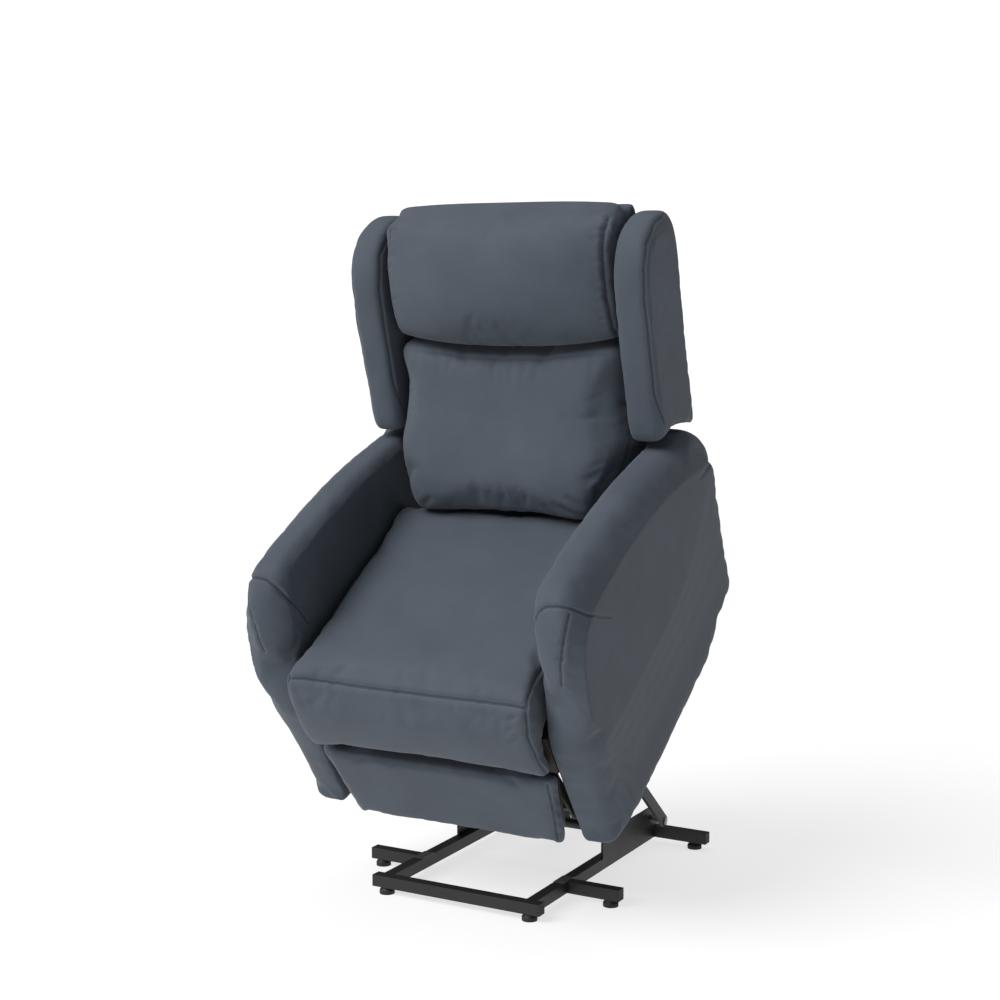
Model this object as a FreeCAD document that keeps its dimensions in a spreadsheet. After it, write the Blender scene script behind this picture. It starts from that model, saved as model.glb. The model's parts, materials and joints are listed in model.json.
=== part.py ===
import FreeCAD, Part
import math
import os
import re
import Sketcher

# Lift recliner chair, millimetres, +Z up, the sitter faces -Y. Left and right are the sitter's: left is +X.
# The stored pose is the raised one. The chair's own frame has Y back and Z up as when it is lowered.
# In that frame Y is measured from the front of the arms and Z from 27 mm below their soles.

os.makedirs("parts", exist_ok=True)
doc = FreeCAD.newDocument("lift_recliner_chair")

SIZES = {
    # where the model's origin lies behind the front feet
    "origin_back": 181,
    # floor frame
    "rail_size": 25, "rail_wall": 2, "rail_bottom": 15, "rail_inner": 162, "rail_front": 11, "rail_rear": 600,
    "front_bar_half": 200, "rear_bar_half": 313, "outrigger_end": 305, "outrigger_front": 146,
    "joint_plate_length": 48, "joint_plate_front": 130, "joint_plate_thick": 1.5,
    "cap_thick": 3, "cap_spigot": 12, "cap_play": 0.2,
    "foot_radius": 16.5, "foot_neck": 11, "foot_pad": 8, "foot_stem": 4, "foot_stem_length": 12,
    "stem_play": 0.1,
    "front_foot_x": 174, "outrigger_foot_x": 284,
    # pivots of the lift linkage
    "bracket_thick": 5, "bracket_front": 322, "bracket_height": 118, "bracket_step": 92,
    "front_pivot_y": 350, "front_pivot_z": 102, "rear_pivot_y": 585, "rear_pivot_z": 62,
    "front_link_w": 77, "rear_link_w": 46,
    "link_thick": 8, "link_width": 26, "link_gap": 2, "plate_gap": 5,
    "pin_radius": 6, "pin_play": 0.05, "pin_head": 10, "pin_head_thick": 5, "pin_end": 3,
    "clip_radius": 9, "clip_thick": 1.2,
    "open_play": 5.5, "link_neck": 30, "link_shoulder": 18,
    "lift_lever": 80, "lift_lever_angle": 65, "shaft_tube": 12,
    # poses of the chair on its linkage
    "lift_tilt": 33, "raised_y": 32, "raised_z": 143.6, "lowered_y": -146, "lowered_z": 23,
    # lift frame under the seat
    "plate_thick": 6, "plate_front": 120, "plate_rear": 590, "plate_low": 24, "flange_thick": 5,
    "cross_radius": 12, "cross_w": 217, "cross_front": 150, "cross_middle": 350, "cross_rear": 500,
    "lug_thick": 5, "lug_width": 28, "lug_half": 14,
    # seat
    "seat_half": 285, "seat_front": 10, "seat_rear": 600, "seat_low": 235, "seat_high": 330,
    "board": 22, "rail_board_rear": 498, "rail_board_low": 262,
    "seat_play": 2, "seat_top_front": 447, "seat_top_rear": 455, "seat_nose": 38, "cushion_rear": 572,
    "spring_wire": 2, "spring_pitch": 40, "spring_half_width": 22,
    # arms
    "arm_width": 89, "arm_pad_width": 107, "arm_low": 27, "arm_top": 634, "arm_depth": 790,
    "arm_panel": 18, "arm_bolt": 4, "bolt_play": 0.2, "bolt_head": 8, "bolt_head_thick": 4, "bolt_rise": 45,
    # backrest
    "hinge_y": 600, "hinge_z": 290, "back_lean": 17, "back_tube": 25, "back_tube_gap": 35,
    "back_frame_front": 85, "back_frame_top": 640, "back_gap": 8, "shell_thick": 20, "shell_top": 735,
    "shell_low": -30, "back_split": 489, "head_top": 779, "lumbar": 174, "cushion_back": 80,
    "wing_gap": 2, "wing_width": 75, "wing_front": 80, "wing_top": 762, "wing_clear": 307,
    "hinge_plate": 6, "hinge_arm_gap": 30,
    "lever_x": 90, "lever_y": 59.8, "lever_z": -76.5,
    # footrest
    "foot_pivot_y": 72, "foot_pivot_z": 212, "foot_link_a": 170, "foot_link_width": 22, "foot_link_thick": 6,
    "foot_joint_y": 42, "foot_joint_z": 200, "foot_tube": 9, "foot_plate": 6,
    "crank_x": -90, "crank_radius": 40, "crank_angle": -42.5, "crank_thick": 6,
    "panel_gap": 4, "panel_taper": 32, "panel_low": 26, "panel_high": 231,
    "pad_thick": 26, "pad_front": -8, "panel_board": 10,
    # linear drives
    "rod_radius": 9, "rod_play": 0.05, "tube_radius": 17, "gear_half": 28, "gear_start": 22,
    "gear_length": 68, "motor_radius": 25, "motor_length": 120, "eye_radius": 15, "eye_half": 10,
    "clevis_back": 12, "clevis_z": 66, "recline_pin_w": 150, "drive_w": 180,
    "washer_thick": 1.6, "clip_play": 0.4, "eye_gap": 2, "open_eye": 17,
    "webbing_thick": 2, "webbing_width": 50, "webbing_low": 190, "webbing_step": 78,
    "recline_range": 42, "footrest_range": 95, "slot_play": 2,
    "yoke_back": 28, "rod_inside": 40, "board_inset": 8, "yoke_half_height": 20, "slot_half_height": 16,
    # control box
    "box_inner": 127, "box_outer": 180, "box_front": 340, "box_rear": 510, "box_depth": 40,
}

sheet = doc.addObject("Spreadsheet::Sheet", "sizes")
for row, (alias, number) in enumerate(SIZES.items(), start=1):
    sheet.set(f"A{row}", alias.replace("_", " "))
    sheet.set(f"B{row}", str(number))
    sheet.setAlias(f"B{row}", alias)
doc.recompute()

FUNCTIONS = {"sin", "cos", "tan", "sqrt", "min", "max"}
nodes = {}


def size(alias):
    return float(sheet.get(alias))


def bound(text):
    """The expression with each alias named as a cell of the sheet."""
    return re.sub(r"[a-z][a-z0-9_]+", lambda m: m[0] if m[0] in FUNCTIONS else "sizes." + m[0], str(text))


def name(label):
    return label.replace(" ", "_")


def shift(x=0.0, y=0.0, z=0.0, tilt=0.0):
    """A placement at x, y, z, turned about X by tilt degrees."""
    return FreeCAD.Placement(FreeCAD.Vector(x, y, z), FreeCAD.Rotation(FreeCAD.Vector(1, 0, 0), tilt))


def node(label, thing):
    thing.Label = label
    nodes[label] = thing
    return thing


def box(label, frame, start, lengths):
    """A block from a corner, with its three lengths bound to the sheet."""
    thing = doc.addObject("Part::Box", name(label))
    for side, text in zip(("Length", "Width", "Height"), lengths):
        thing.setExpression(side, bound(text))
    thing.Placement = frame.multiply(shift(*start))
    return thing


def rod(label, frame, start, radius, length, axis="x"):
    """A round bar from a point along +X, +Y or +Z of its frame."""
    turns = {"x": FreeCAD.Rotation(FreeCAD.Vector(0, 1, 0), 90),
             "y": FreeCAD.Rotation(FreeCAD.Vector(1, 0, 0), -90)}
    thing = doc.addObject("Part::Cylinder", name(label))
    thing.setExpression("Radius", bound(radius))
    thing.setExpression("Height", bound(length))
    turn = turns.get(axis, FreeCAD.Rotation())
    thing.Placement = frame.multiply(FreeCAD.Placement(FreeCAD.Vector(*start), turn))
    return thing


def group(label, things):
    thing = doc.addObject("Part::Compound", name(label))
    thing.Links = things
    return node(label, thing)


def fused(label, things):
    thing = doc.addObject("Part::MultiFuse", name(label))
    thing.Shapes = things
    return thing


def cut(label, base, tools):
    """base less all the tools."""
    tool = tools[0] if len(tools) == 1 else fused(label + " cutters", tools)
    thing = doc.addObject("Part::Cut", name(label))
    thing.Base = base
    thing.Tool = tool
    return thing


def slab(label, frame, x, outline, thick, holes=(), rounds=None, edge=None):
    """A plate or pad that is padded along +X from its outline in Y and Z.

    Every corner is bound to the sheet. rounds maps a corner's number to its radius; edge rounds the rims."""
    body = doc.addObject("PartDesign::Body", name(label))
    sketch = body.newObject("Sketcher::SketchObject", name(label + " outline"))
    plane = next(f for f in body.Origin.OriginFeatures if f.Role == "YZ_Plane")
    sketch.AttachmentSupport = (plane, "")
    sketch.MapMode = "FlatFace"
    count = len(outline)
    ring = [FreeCAD.Vector(100 * math.cos(i * math.tau / count), 100 * math.sin(i * math.tau / count), 0)
            for i in range(count)]
    for i in range(count):
        sketch.addGeometry(Part.LineSegment(ring[i], ring[(i + 1) % count]), False)
    for i in range(count):
        sketch.addConstraint(Sketcher.Constraint("Coincident", i, 2, (i + 1) % count, 1))
    for i, corner in enumerate(outline):
        pin(sketch, i, 1, f"corner{i}", corner)
    for i, (y, z, radius) in enumerate(holes):
        circle = sketch.addGeometry(Part.Circle(FreeCAD.Vector(), FreeCAD.Vector(0, 0, 1), 5), False)
        pin(sketch, circle, 3, f"hole{i}", (y, z))
        index = sketch.addConstraint(Sketcher.Constraint("Radius", circle, 5.0))
        sketch.renameConstraint(index, f"radius{i}")
        sketch.setExpression(f"Constraints.radius{i}", bound(radius))
    pad = body.newObject("PartDesign::Pad", name(label + " pad"))
    pad.Profile = sketch
    pad.setExpression("Length", bound(thick))
    sketch.recompute()
    pad.recompute()
    for step, (radius, corners) in enumerate(sorted(grouped(rounds or {}).items())):
        places = [sketch.Geometry[c].StartPoint for c in corners]
        rounded(body, label, f"corners {step}", radius, lambda e: along(e, places))
    if edge:
        rounded(body, label, "rim", edge, lambda e: flat(e))
    body.Placement = frame.multiply(shift(x))
    return body


def pin(sketch, geometry, point, tag, place):
    """Holds a point of the sketch at two bound distances from the origin."""
    for letter, text in zip("XY", place):
        index = sketch.addConstraint(Sketcher.Constraint("Distance" + letter, -1, 1, geometry, point, 1.0))
        sketch.renameConstraint(index, tag + letter)
        sketch.setExpression(f"Constraints.{tag}{letter}", bound(text))


def grouped(rounds):
    """{radius: [corners]} from {corner: radius}."""
    result = {}
    for corner, radius in rounds.items():
        result.setdefault(str(radius), []).append(corner)
    return result


def along(edge, places):
    """True for an edge along X through one of the outline's corners."""
    if edge.BoundBox.XLength < 1e-3 or edge.BoundBox.YLength > 1e-3 or edge.BoundBox.ZLength > 1e-3:
        return False
    centre = edge.BoundBox.Center
    return any(abs(centre.y - p.x) < 1e-3 and abs(centre.z - p.y) < 1e-3 for p in places)


def flat(edge):
    return edge.BoundBox.XLength < 1e-3


def rounded(body, label, step, radius, wanted):
    """Adds a fillet of the edges that are wanted."""
    tip = body.Tip
    names = [f"Edge{i}" for i, e in enumerate(tip.Shape.Edges, start=1) if wanted(e)]
    fillet = body.newObject("PartDesign::Fillet", name(f"{label} {step}"))
    fillet.Base = (tip, names)
    fillet.setExpression("Radius", bound(radius))
    body.Tip = fillet
    fillet.recompute()


def start(sign, inner, outer):
    """Where a piece that spans inner to outer on its own side starts along X."""
    return inner if sign > 0 else -outer


SIDES = (("left", 1), ("right", -1))
tilt = size("lift_tilt")
base = shift(0, -size("origin_back"), 0)
chair = base.multiply(shift(0, size("raised_y"), size("raised_z"), tilt))
hinge = chair.multiply(shift(0, size("hinge_y"), size("hinge_z"), -size("back_lean")))

# Planes of the lift linkage along X, each one from the one before.
rail_outer = size("rail_inner") + size("rail_size")
bracket_inner = rail_outer - size("bracket_thick")
link_inner = rail_outer + size("link_gap")
link_outer = link_inner + size("link_thick")
plate_inner = link_outer + size("plate_gap")
plate_outer = plate_inner + size("plate_thick")
rear_inner = plate_outer + size("plate_gap")
rear_outer = rear_inner + size("link_thick")
rail_top = size("rail_bottom") + size("rail_size")


def derive(alias, number):
    """Adds a size that follows from the others to the sheet."""
    row = len(SIZES) + len(derived) + 1
    derived.append(alias)
    sheet.set(f"A{row}", alias.replace("_", " "))
    sheet.set(f"B{row}", str(number))
    sheet.setAlias(f"B{row}", alias)
    sheet.recompute()


derived = []

# Widths that follow the seat's, and the clevis that stands on the rear bar.
derive("arm_inner", size("seat_half"))
derive("arm_outer", size("arm_inner") + size("arm_width"))
derive("arm_pad_outer", size("arm_inner") + size("arm_pad_width"))
derive("back_half", size("seat_half") - size("back_gap"))
derive("back_tube_outer", size("seat_half") - size("back_tube_gap"))
derive("hinge_arm_outer", size("seat_half") - size("hinge_arm_gap"))
derive("wing_inner", size("back_half") + size("wing_gap"))
derive("wing_outer", size("wing_inner") + size("wing_width"))
derive("panel_half_high", size("seat_half") - size("panel_gap"))
derive("panel_half_low", size("panel_half_high") - size("panel_taper"))
derive("clevis_y", size("rail_rear") + size("clevis_back"))


def raised(place):
    """A point of the chair's frame, seen in the floor frame with the chair raised."""
    c, s = math.cos(math.radians(tilt)), math.sin(math.radians(tilt))
    return place[0] * c - place[1] * s + size("raised_y"), place[0] * s + place[1] * c + size("raised_z")


def lowered(place):
    return place[0] + size("lowered_y"), place[1] + size("lowered_z")


def span(a, b):
    """Length, and angle in degrees from +Y, of the line from a to b."""
    return math.hypot(b[0] - a[0], b[1] - a[1]), math.degrees(math.atan2(b[1] - a[1], b[0] - a[0]))


def on_chair(place, w):
    """The point of the chair at height w that is as far from a floor pivot when raised as when lowered."""
    c, s = math.cos(math.radians(tilt)), math.sin(math.radians(tilt))
    up = (size("raised_y") - place[0], size("raised_z") - place[1])
    down = (size("lowered_y") - place[0], size("lowered_z") - place[1])
    ay = 2 * (c * up[0] + s * up[1]) - 2 * down[0]
    az = 2 * (-s * up[0] + c * up[1]) - 2 * down[1]
    rest = down[0] ** 2 + down[1] ** 2 - up[0] ** 2 - up[1] ** 2
    return (rest - az * w) / ay, w


def turned(place, angle):
    """A point turned by angle degrees about the frame's origin."""
    c, s = math.cos(math.radians(angle)), math.sin(math.radians(angle))
    return place[0] * c - place[1] * s, place[0] * s + place[1] * c


front_pivot = (size("front_pivot_y"), size("front_pivot_z"))
rear_pivot = (size("rear_pivot_y"), size("rear_pivot_z"))
front_eye = on_chair(front_pivot, size("front_link_w"))
rear_eye = on_chair(rear_pivot, size("rear_link_w"))
front_length, front_angle = span(front_pivot, raised(front_eye))
rear_length, rear_angle = span(rear_pivot, raised(rear_eye))
derive("front_link_length", front_length)
derive("rear_link_length", rear_length)
derive("front_eye_y", front_eye[0])
derive("rear_eye_y", rear_eye[0])


def square(label, frame, corner, axis, length, drills=()):
    """A square tube from a corner along X or Y, with holes drilled up through its lower wall."""
    x, y, z = corner
    wall = size("rail_wall")
    lengths = {"x": (length, "rail_size", "rail_size"), "y": ("rail_size", length, "rail_size")}[axis]
    hollow = [text if text == length else "rail_size - 2 * rail_wall" for text in lengths]
    inner_corner = {"x": (x, y + wall, z + wall), "y": (x + wall, y, z + wall)}[axis]
    outer = box(label + " outer", frame, corner, lengths)
    tools = [box(label + " hollow", frame, inner_corner, hollow)]
    for i, (drill_x, drill_y) in enumerate(drills):
        tools.append(rod(f"{label} drill {i}", frame, (drill_x, drill_y, z - 1), "foot_stem + stem_play",
                         "rail_wall + 2", "z"))
    return cut(label, outer, tools)


def cap(label, x, y, sign):
    """A push-in plug for the open end of a tube along X, on its own side."""
    z = size("rail_bottom")
    inset = size("rail_wall") + size("cap_play")
    face = box(label + " face", base, (start(sign, x, x + size("cap_thick")), y, z),
               ("cap_thick", "rail_size", "rail_size"))
    narrow = "rail_size - 2 * rail_wall - 2 * cap_play"
    spigot = box(label + " spigot", base, (start(sign, x - size("cap_spigot"), x), y + inset, z + inset),
                 ("cap_spigot", narrow, narrow))
    return fused(label, [face, spigot])


def foot(label, x, y):
    """A levelling foot: a pad, a taper and a stem that goes up into the tube."""
    pad = rod(label + " pad", base, (x, y, 0), "foot_radius", "foot_pad", "z")
    neck = doc.addObject("Part::Cone", name(label + " neck"))
    neck.setExpression("Radius1", bound("foot_radius"))
    neck.setExpression("Radius2", bound("foot_neck"))
    neck.setExpression("Height", bound("rail_bottom - foot_pad"))
    neck.Placement = base.multiply(shift(x, y, size("foot_pad")))
    stem = rod(label + " stem", base, (x, y, size("rail_bottom")), "foot_stem", "foot_stem_length", "z")
    return fused(label, [pad, neck, stem])


def shaft(label, frame, place, sign, inner, outer, head_inside):
    """A headed pin along X that fills inner to outer on its side, with its head beyond one end."""
    alias = label.replace(" ", "_") + "_span"
    derive(alias, outer - inner)
    y, z = place
    thick = size("pin_head_thick")
    stem = rod(label + " stem", frame, (start(sign, inner, outer), y, z), "pin_radius", alias)
    at = (inner - thick, inner) if head_inside else (outer, outer + thick)
    head = rod(label + " head", frame, (start(sign, *at), y, z), "pin_head", "pin_head_thick")
    return fused(label, [stem, head])


def ring(label, frame, place, sign, inner, thick, outer_radius, bore="pin_radius"):
    """A washer, spacer or clip round a pin along X."""
    corner = (start(sign, inner, inner + size(thick)), *place)
    disc = rod(label + " disc", frame, corner, outer_radius, thick)
    hole = rod(label + " hole", frame, corner, bore, thick)
    return cut(label, disc, [hole])


# Floor frame
half = size("rail_size") / 2
bottom = size("rail_bottom")
front_y = size("rail_front")
rear_y = size("rail_rear")
foot_places = {"front bar": (size("front_foot_x"), 0.0),
               "outrigger": (size("outrigger_foot_x"), size("outrigger_front") + half),
               "rear bar": (size("outrigger_foot_x"), rear_y + half)}
front_drills = [(sign * foot_places["front bar"][0], 0.0) for sign in (1, -1)]
rear_drills = [(sign * foot_places["rear bar"][0], rear_y + half) for sign in (1, -1)]
front_corner = (-size("front_bar_half"), front_y - 2 * half, bottom)
rear_corner = (-size("rear_bar_half"), rear_y, bottom)
node("base_front_bar", square("base_front_bar", base, front_corner, "x", "2 * front_bar_half", front_drills))
node("base_rear_bar", square("base_rear_bar", base, rear_corner, "x", "2 * rear_bar_half", rear_drills))
rails, outriggers, plates, caps, feet = [], [], [], [], []
for side, sign in SIDES:
    rail_x = start(sign, size("rail_inner"), rail_outer)
    rails.append(square(f"base rail {side}", base, (rail_x, front_y, bottom), "y", "rail_rear - rail_front"))
    arm_x = start(sign, rail_outer, size("outrigger_end"))
    x, y = foot_places["outrigger"]
    outriggers.append(square(f"outrigger {side}", base, (arm_x, size("outrigger_front"), bottom), "x",
                             "outrigger_end - rail_inner - rail_size", [(sign * x, y)]))
    plates.append(box(f"joint plate {side}", base, (rail_x, size("joint_plate_front"), rail_top),
                      ("rail_size", "joint_plate_length", "joint_plate_thick")))
    caps.append(cap(f"front cap {side}", size("front_bar_half"), front_y - 2 * half, sign))
    caps.append(cap(f"outrigger cap {side}", size("outrigger_end"), size("outrigger_front"), sign))
    caps.append(cap(f"rear cap {side}", size("rear_bar_half"), rear_y, sign))
    for place, (x, y) in foot_places.items():
        feet.append(foot(f"{place} foot {side}", sign * x, y))
group("base_rails", rails)
group("base_outriggers", outriggers)
group("base_joint_plates", plates)
group("tube_end_caps", caps)
group("levelling_feet", feet)

# Pivots on the floor frame
group("pivot_brackets", [slab(
    f"pivot bracket {side}", base, start(sign, bracket_inner, rail_outer),
    [("bracket_front", "rail_bottom + rail_size"), ("bracket_front", "bracket_height"),
     ("front_pivot_y + 24", "bracket_height"), ("front_pivot_y + 60", "bracket_step"),
     ("rail_rear + rail_size / 2", "bracket_step"), ("rail_rear + rail_size / 2", "rail_bottom + rail_size")],
    "bracket_thick", [("front_pivot_y", "front_pivot_z", "pin_radius + pin_play"),
                      ("rear_pivot_y", "rear_pivot_z", "pin_radius")],
    {1: 14, 2: 14, 4: 10}) for side, sign in SIDES])
derive("spacer_length", rear_inner - rail_outer - size("clip_play"))
floor_pins, floor_rings = [], []
for side, sign in SIDES:
    front_clip = link_outer + size("clip_play")
    rear_clip = rear_outer + size("clip_play")
    floor_pins.append(shaft(f"rear {side} pivot pin", base, rear_pivot, sign, bracket_inner,
                            rear_clip + 2 * size("clip_thick"), True))
    floor_rings.append(ring(f"rear {side} spacer", base, rear_pivot, sign, rail_outer, "spacer_length",
                            "clip_radius"))
    floor_rings.append(ring(f"rear {side} clip", base, rear_pivot, sign, rear_clip, "clip_thick",
                            "clip_radius"))
    floor_rings.append(ring(f"front {side} washer", base, front_pivot, sign, rail_outer, "washer_thick",
                            "clip_radius", "pin_radius + pin_play"))
group("pivot_spacers_and_washers", floor_rings)
lug_inner = size("eye_half") + size("eye_gap")
lug_outer = lug_inner + size("lug_thick")
clevis_place = (size("clevis_y"), size("clevis_z"))
group("lift_drive_clevis", [slab(
    f"clevis lug {side}", base, start(sign, lug_inner, lug_outer),
    [("rail_rear", "rail_bottom + rail_size"), ("rail_rear", "clevis_z + lug_half"),
     ("rail_rear + rail_size - 1", "clevis_z + lug_half"),
     ("rail_rear + rail_size - 1", "rail_bottom + rail_size")],
    "lug_thick", [("clevis_y", "clevis_z", "pin_radius")], {1: 8, 2: 8}) for side, sign in SIDES])


def cross_pin(label, frame, place, x=0.0):
    """A plain pin along X through two lugs that stand either side of x."""
    return rod(label, frame, (x - lug_outer - size("pin_end"), *place), "pin_radius",
               "2 * (eye_half + eye_gap + lug_thick + pin_end)")


group("base_pins", floor_pins + [cross_pin("lift drive lower pin", base, clevis_place)])

# Lift links
front_frame = base.multiply(shift(0, *front_pivot, front_angle))
rear_frame = base.multiply(shift(0, *rear_pivot, rear_angle))
group("front_links", [slab(
    f"front link {side}", front_frame, start(sign, link_inner, link_outer),
    [("-link_width / 2", "-link_width / 2"), ("front_link_length + link_width / 2", "-link_width / 2"),
     ("front_link_length + link_width / 2", "link_width / 2"), ("-link_width / 2", "link_width / 2")],
    "link_thick", [(0, 0, "pin_radius"), ("front_link_length", 0, "pin_radius + pin_play")],
    {corner: "link_width / 2 - 0.2" for corner in range(4)}) for side, sign in SIDES])
for side, sign in SIDES:
    node(f"rear_link_{side}", slab(
        f"rear_link_{side}", rear_frame, start(sign, rear_inner, rear_outer),
        [("-link_width / 2", "-link_width / 2"), ("rear_link_length - link_neck", "-link_width / 2"),
         ("rear_link_length - link_shoulder", "-open_eye"), ("rear_link_length + open_eye", "-open_eye"),
         ("rear_link_length + open_eye", "open_eye"), ("rear_link_length - link_shoulder", "open_eye"),
         ("rear_link_length - link_neck", "link_width / 2"), ("-link_width / 2", "link_width / 2")],
        "link_thick", [(0, 0, "pin_radius + pin_play"), ("rear_link_length", 0, "pin_radius + open_play")],
        {0: "link_width / 2 - 0.2", 7: "link_width / 2 - 0.2", 3: "open_eye - 0.2", 4: "open_eye - 0.2"}))

# Shaft that joins the front links and carries the lift drive's levers
tube_half = bracket_inner - size("link_gap")
stub_end = link_outer + size("clip_play")
derive("shaft_tube_length", 2 * tube_half)
derive("shaft_stub_length", stub_end - tube_half)
lever_turn = turned((size("lift_lever"), 0.0), size("lift_lever_angle"))
lift_lever_place = (front_pivot[0] + lever_turn[0], front_pivot[1] + lever_turn[1])
lever_frame = base.multiply(shift(0, *front_pivot, size("lift_lever_angle")))
shaft_parts = [rod("shaft tube", base, (-tube_half, *front_pivot), "shaft_tube", "shaft_tube_length")]
for side, sign in SIDES:
    shaft_parts.append(rod(f"shaft stub {side}", base, (start(sign, tube_half, stub_end), *front_pivot),
                           "pin_radius", "shaft_stub_length"))
    shaft_parts.append(slab(
        f"lift lever {side}", lever_frame, start(sign, lug_inner, lug_outer),
        [("-lug_half", "-lug_half"), ("lift_lever + lug_half", "-lug_half"),
         ("lift_lever + lug_half", "lug_half"), ("-lug_half", "lug_half")],
        "lug_thick", (), {0: 10, 1: 12, 2: 12, 3: 10}))
shaft_parts.append(cross_pin("lift lever pin", base, lift_lever_place))
node("front_link_shaft", fused("front_link_shaft", shaft_parts))

# Lift frame under the seat
seat_inner = size("seat_half") - size("board")
derive("flange_width", size("seat_half") - plate_inner)
lift_plates = []
for side, sign in SIDES:
    web = slab(f"lift web {side}", chair, start(sign, plate_inner, plate_outer),
               [("plate_front", "seat_low - flange_thick"), ("plate_front", "front_link_w + 70"),
                ("front_eye_y - 26", "plate_low + 24"), ("rear_eye_y - 22", "plate_low"),
                ("rear_eye_y + 22", "plate_low"), ("cross_middle + 60", "front_link_w + 40"),
                ("plate_rear", "cross_w - 45"), ("plate_rear", "seat_low - flange_thick")],
               "plate_thick", [("front_eye_y", "front_link_w", "pin_radius"),
                               ("rear_eye_y", "rear_link_w", "pin_radius")],
               {1: 20, 2: 20, 3: 12, 4: 12, 5: 30, 6: 16})
    flange = box(f"lift flange {side}", chair,
                 (start(sign, plate_inner, size("seat_half")), size("plate_front"),
                  size("seat_low") - size("flange_thick")),
                 ("flange_width", "plate_rear - plate_front", "flange_thick"))
    lift_plates.append(fused(f"lift plate {side}", [web, flange]))
group("lift_plates", lift_plates)
derive("cross_length", 2 * plate_inner)
cross_tubes = []
for tag in ("front", "middle", "rear"):
    corner = (-plate_inner, size(f"cross_{tag}"), size("cross_w"))
    outer = rod(f"cross tube {tag} outer", chair, corner, "cross_radius", "cross_length")
    bore = rod(f"cross tube {tag} bore", chair, corner, "cross_radius - rail_wall", "cross_length")
    cross_tubes.append(cut(f"cross tube {tag}", outer, [bore]))
group("lift_cross_tubes", cross_tubes)
chair_pins = [shaft(f"{tag} {side} eye pin", chair, place, sign, inner, outer, False)
              for side, sign in SIDES
              for tag, place, inner, outer in (("front", front_eye, link_inner - 1.5, plate_outer),
                                               ("rear", rear_eye, plate_inner, rear_outer + 1.5))]


def hanger(label, tube, pin_w, x):
    """Two lugs that hang from a cross tube and hold a pin."""
    return [slab(f"{label} {side}", chair, x + start(sign, lug_inner, lug_outer),
                 [(f"{tube} - lug_width / 2 - 3", f"{pin_w} - lug_half"),
                  (f"{tube} + lug_width / 2 + 3", f"{pin_w} - lug_half"),
                  (f"{tube} + lug_width / 2 + 3", "seat_low - 1"),
                  (f"{tube} - lug_width / 2 - 3", "seat_low - 1")],
                 "lug_thick", [(tube, "cross_w", "cross_radius"), (tube, pin_w, "pin_radius")],
                 {0: 10, 1: 10, 2: 6, 3: 6}) for side, sign in SIDES]


recline_place = (size("cross_front"), size("recline_pin_w"))
drive_place = (size("cross_rear"), size("drive_w"))
group("drive_hangers", hanger("recline hanger", "cross_front", "recline_pin_w", size("lever_x"))
      + hanger("footrest hanger", "cross_rear", "drive_w", size("crank_x")))
chair_pins += [cross_pin("recline hanger pin", chair, recline_place, size("lever_x")),
               cross_pin("footrest hanger pin", chair, drive_place, size("crank_x"))]

# Seat frame, springs and cushion
BOLT_STEPS = (110, 290, 470)
bolt_holes = [(f"seat_front + {step}", "seat_low + bolt_rise", "arm_bolt + bolt_play") for step in BOLT_STEPS]
group("seat_side_rails", [slab(
    f"seat side rail {side}", chair, start(sign, seat_inner, size("seat_half")),
    [("seat_front", "seat_low"), ("seat_rear", "seat_low"), ("seat_rear", "seat_high"),
     ("seat_front", "seat_high")],
    "board", bolt_holes) for side, sign in SIDES])
derive("seat_inner_width", 2 * seat_inner)
group("seat_end_rails", [
    box("seat front rail", chair, (-seat_inner, size("seat_front"), size("seat_low")),
        ("seat_inner_width", "board", "seat_high - seat_low")),
    box("seat rear rail", chair, (-seat_inner, size("rail_board_rear"), size("rail_board_low")),
        ("seat_inner_width", "board", "seat_high - rail_board_low"))])


def sinuous_spring(label, x):
    """A zigzag wire that lies on the front and rear rails: straight runs across, joined by half rings."""
    pitch, reach = size("spring_pitch"), size("spring_half_width")
    z = size("seat_high") + size("spring_wire")
    first, last = size("seat_front") + 6, size("rail_board_rear") + size("board") - 4
    runs = int((last - first) // pitch)
    edges = []
    for i in range(runs + 1):
        y = first + i * pitch
        way = 1 if i % 2 else -1
        edges.append(Part.makeLine((x - way * reach, y, z), (x + way * reach, y, z)))
        if i < runs:
            turn_x = x + way * reach
            middle = FreeCAD.Vector(turn_x + way * pitch / 2, y + pitch / 2, z)
            arc = Part.Arc(FreeCAD.Vector(turn_x, y, z), middle, FreeCAD.Vector(turn_x, y + pitch, z))
            edges.append(arc.toShape())
    end = edges[0].Vertexes[0].Point
    section = Part.Wire(Part.makeCircle(size("spring_wire"), end, FreeCAD.Vector(1, 0, 0)))
    wire = doc.addObject("Part::Feature", name(label))
    wire.Shape = Part.Wire(edges).makePipeShell([section], True, False)
    wire.Placement = chair
    return wire


spring_gap = 2 * seat_inner / 6
group("seat_springs", [sinuous_spring(f"spring {i}", (i - 2) * spring_gap) for i in range(5)])
cushion_half = size("seat_half") - size("seat_play")
derive("cushion_width", 2 * cushion_half)
node("seat_cushion", slab(
    "seat_cushion", chair, -cushion_half,
    [("seat_front - 2", "seat_low + 2"), ("-16", "seat_low + 2"), ("-seat_nose", "seat_low + 70"),
     ("-seat_nose", "seat_top_front"), ("cushion_rear", "seat_top_rear"), ("cushion_rear", "seat_high + 5"),
     ("seat_front - 2", "seat_high + 5")],
    "cushion_width", (), {1: 10, 2: 50, 3: 40, 4: 14}, 8))

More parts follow.
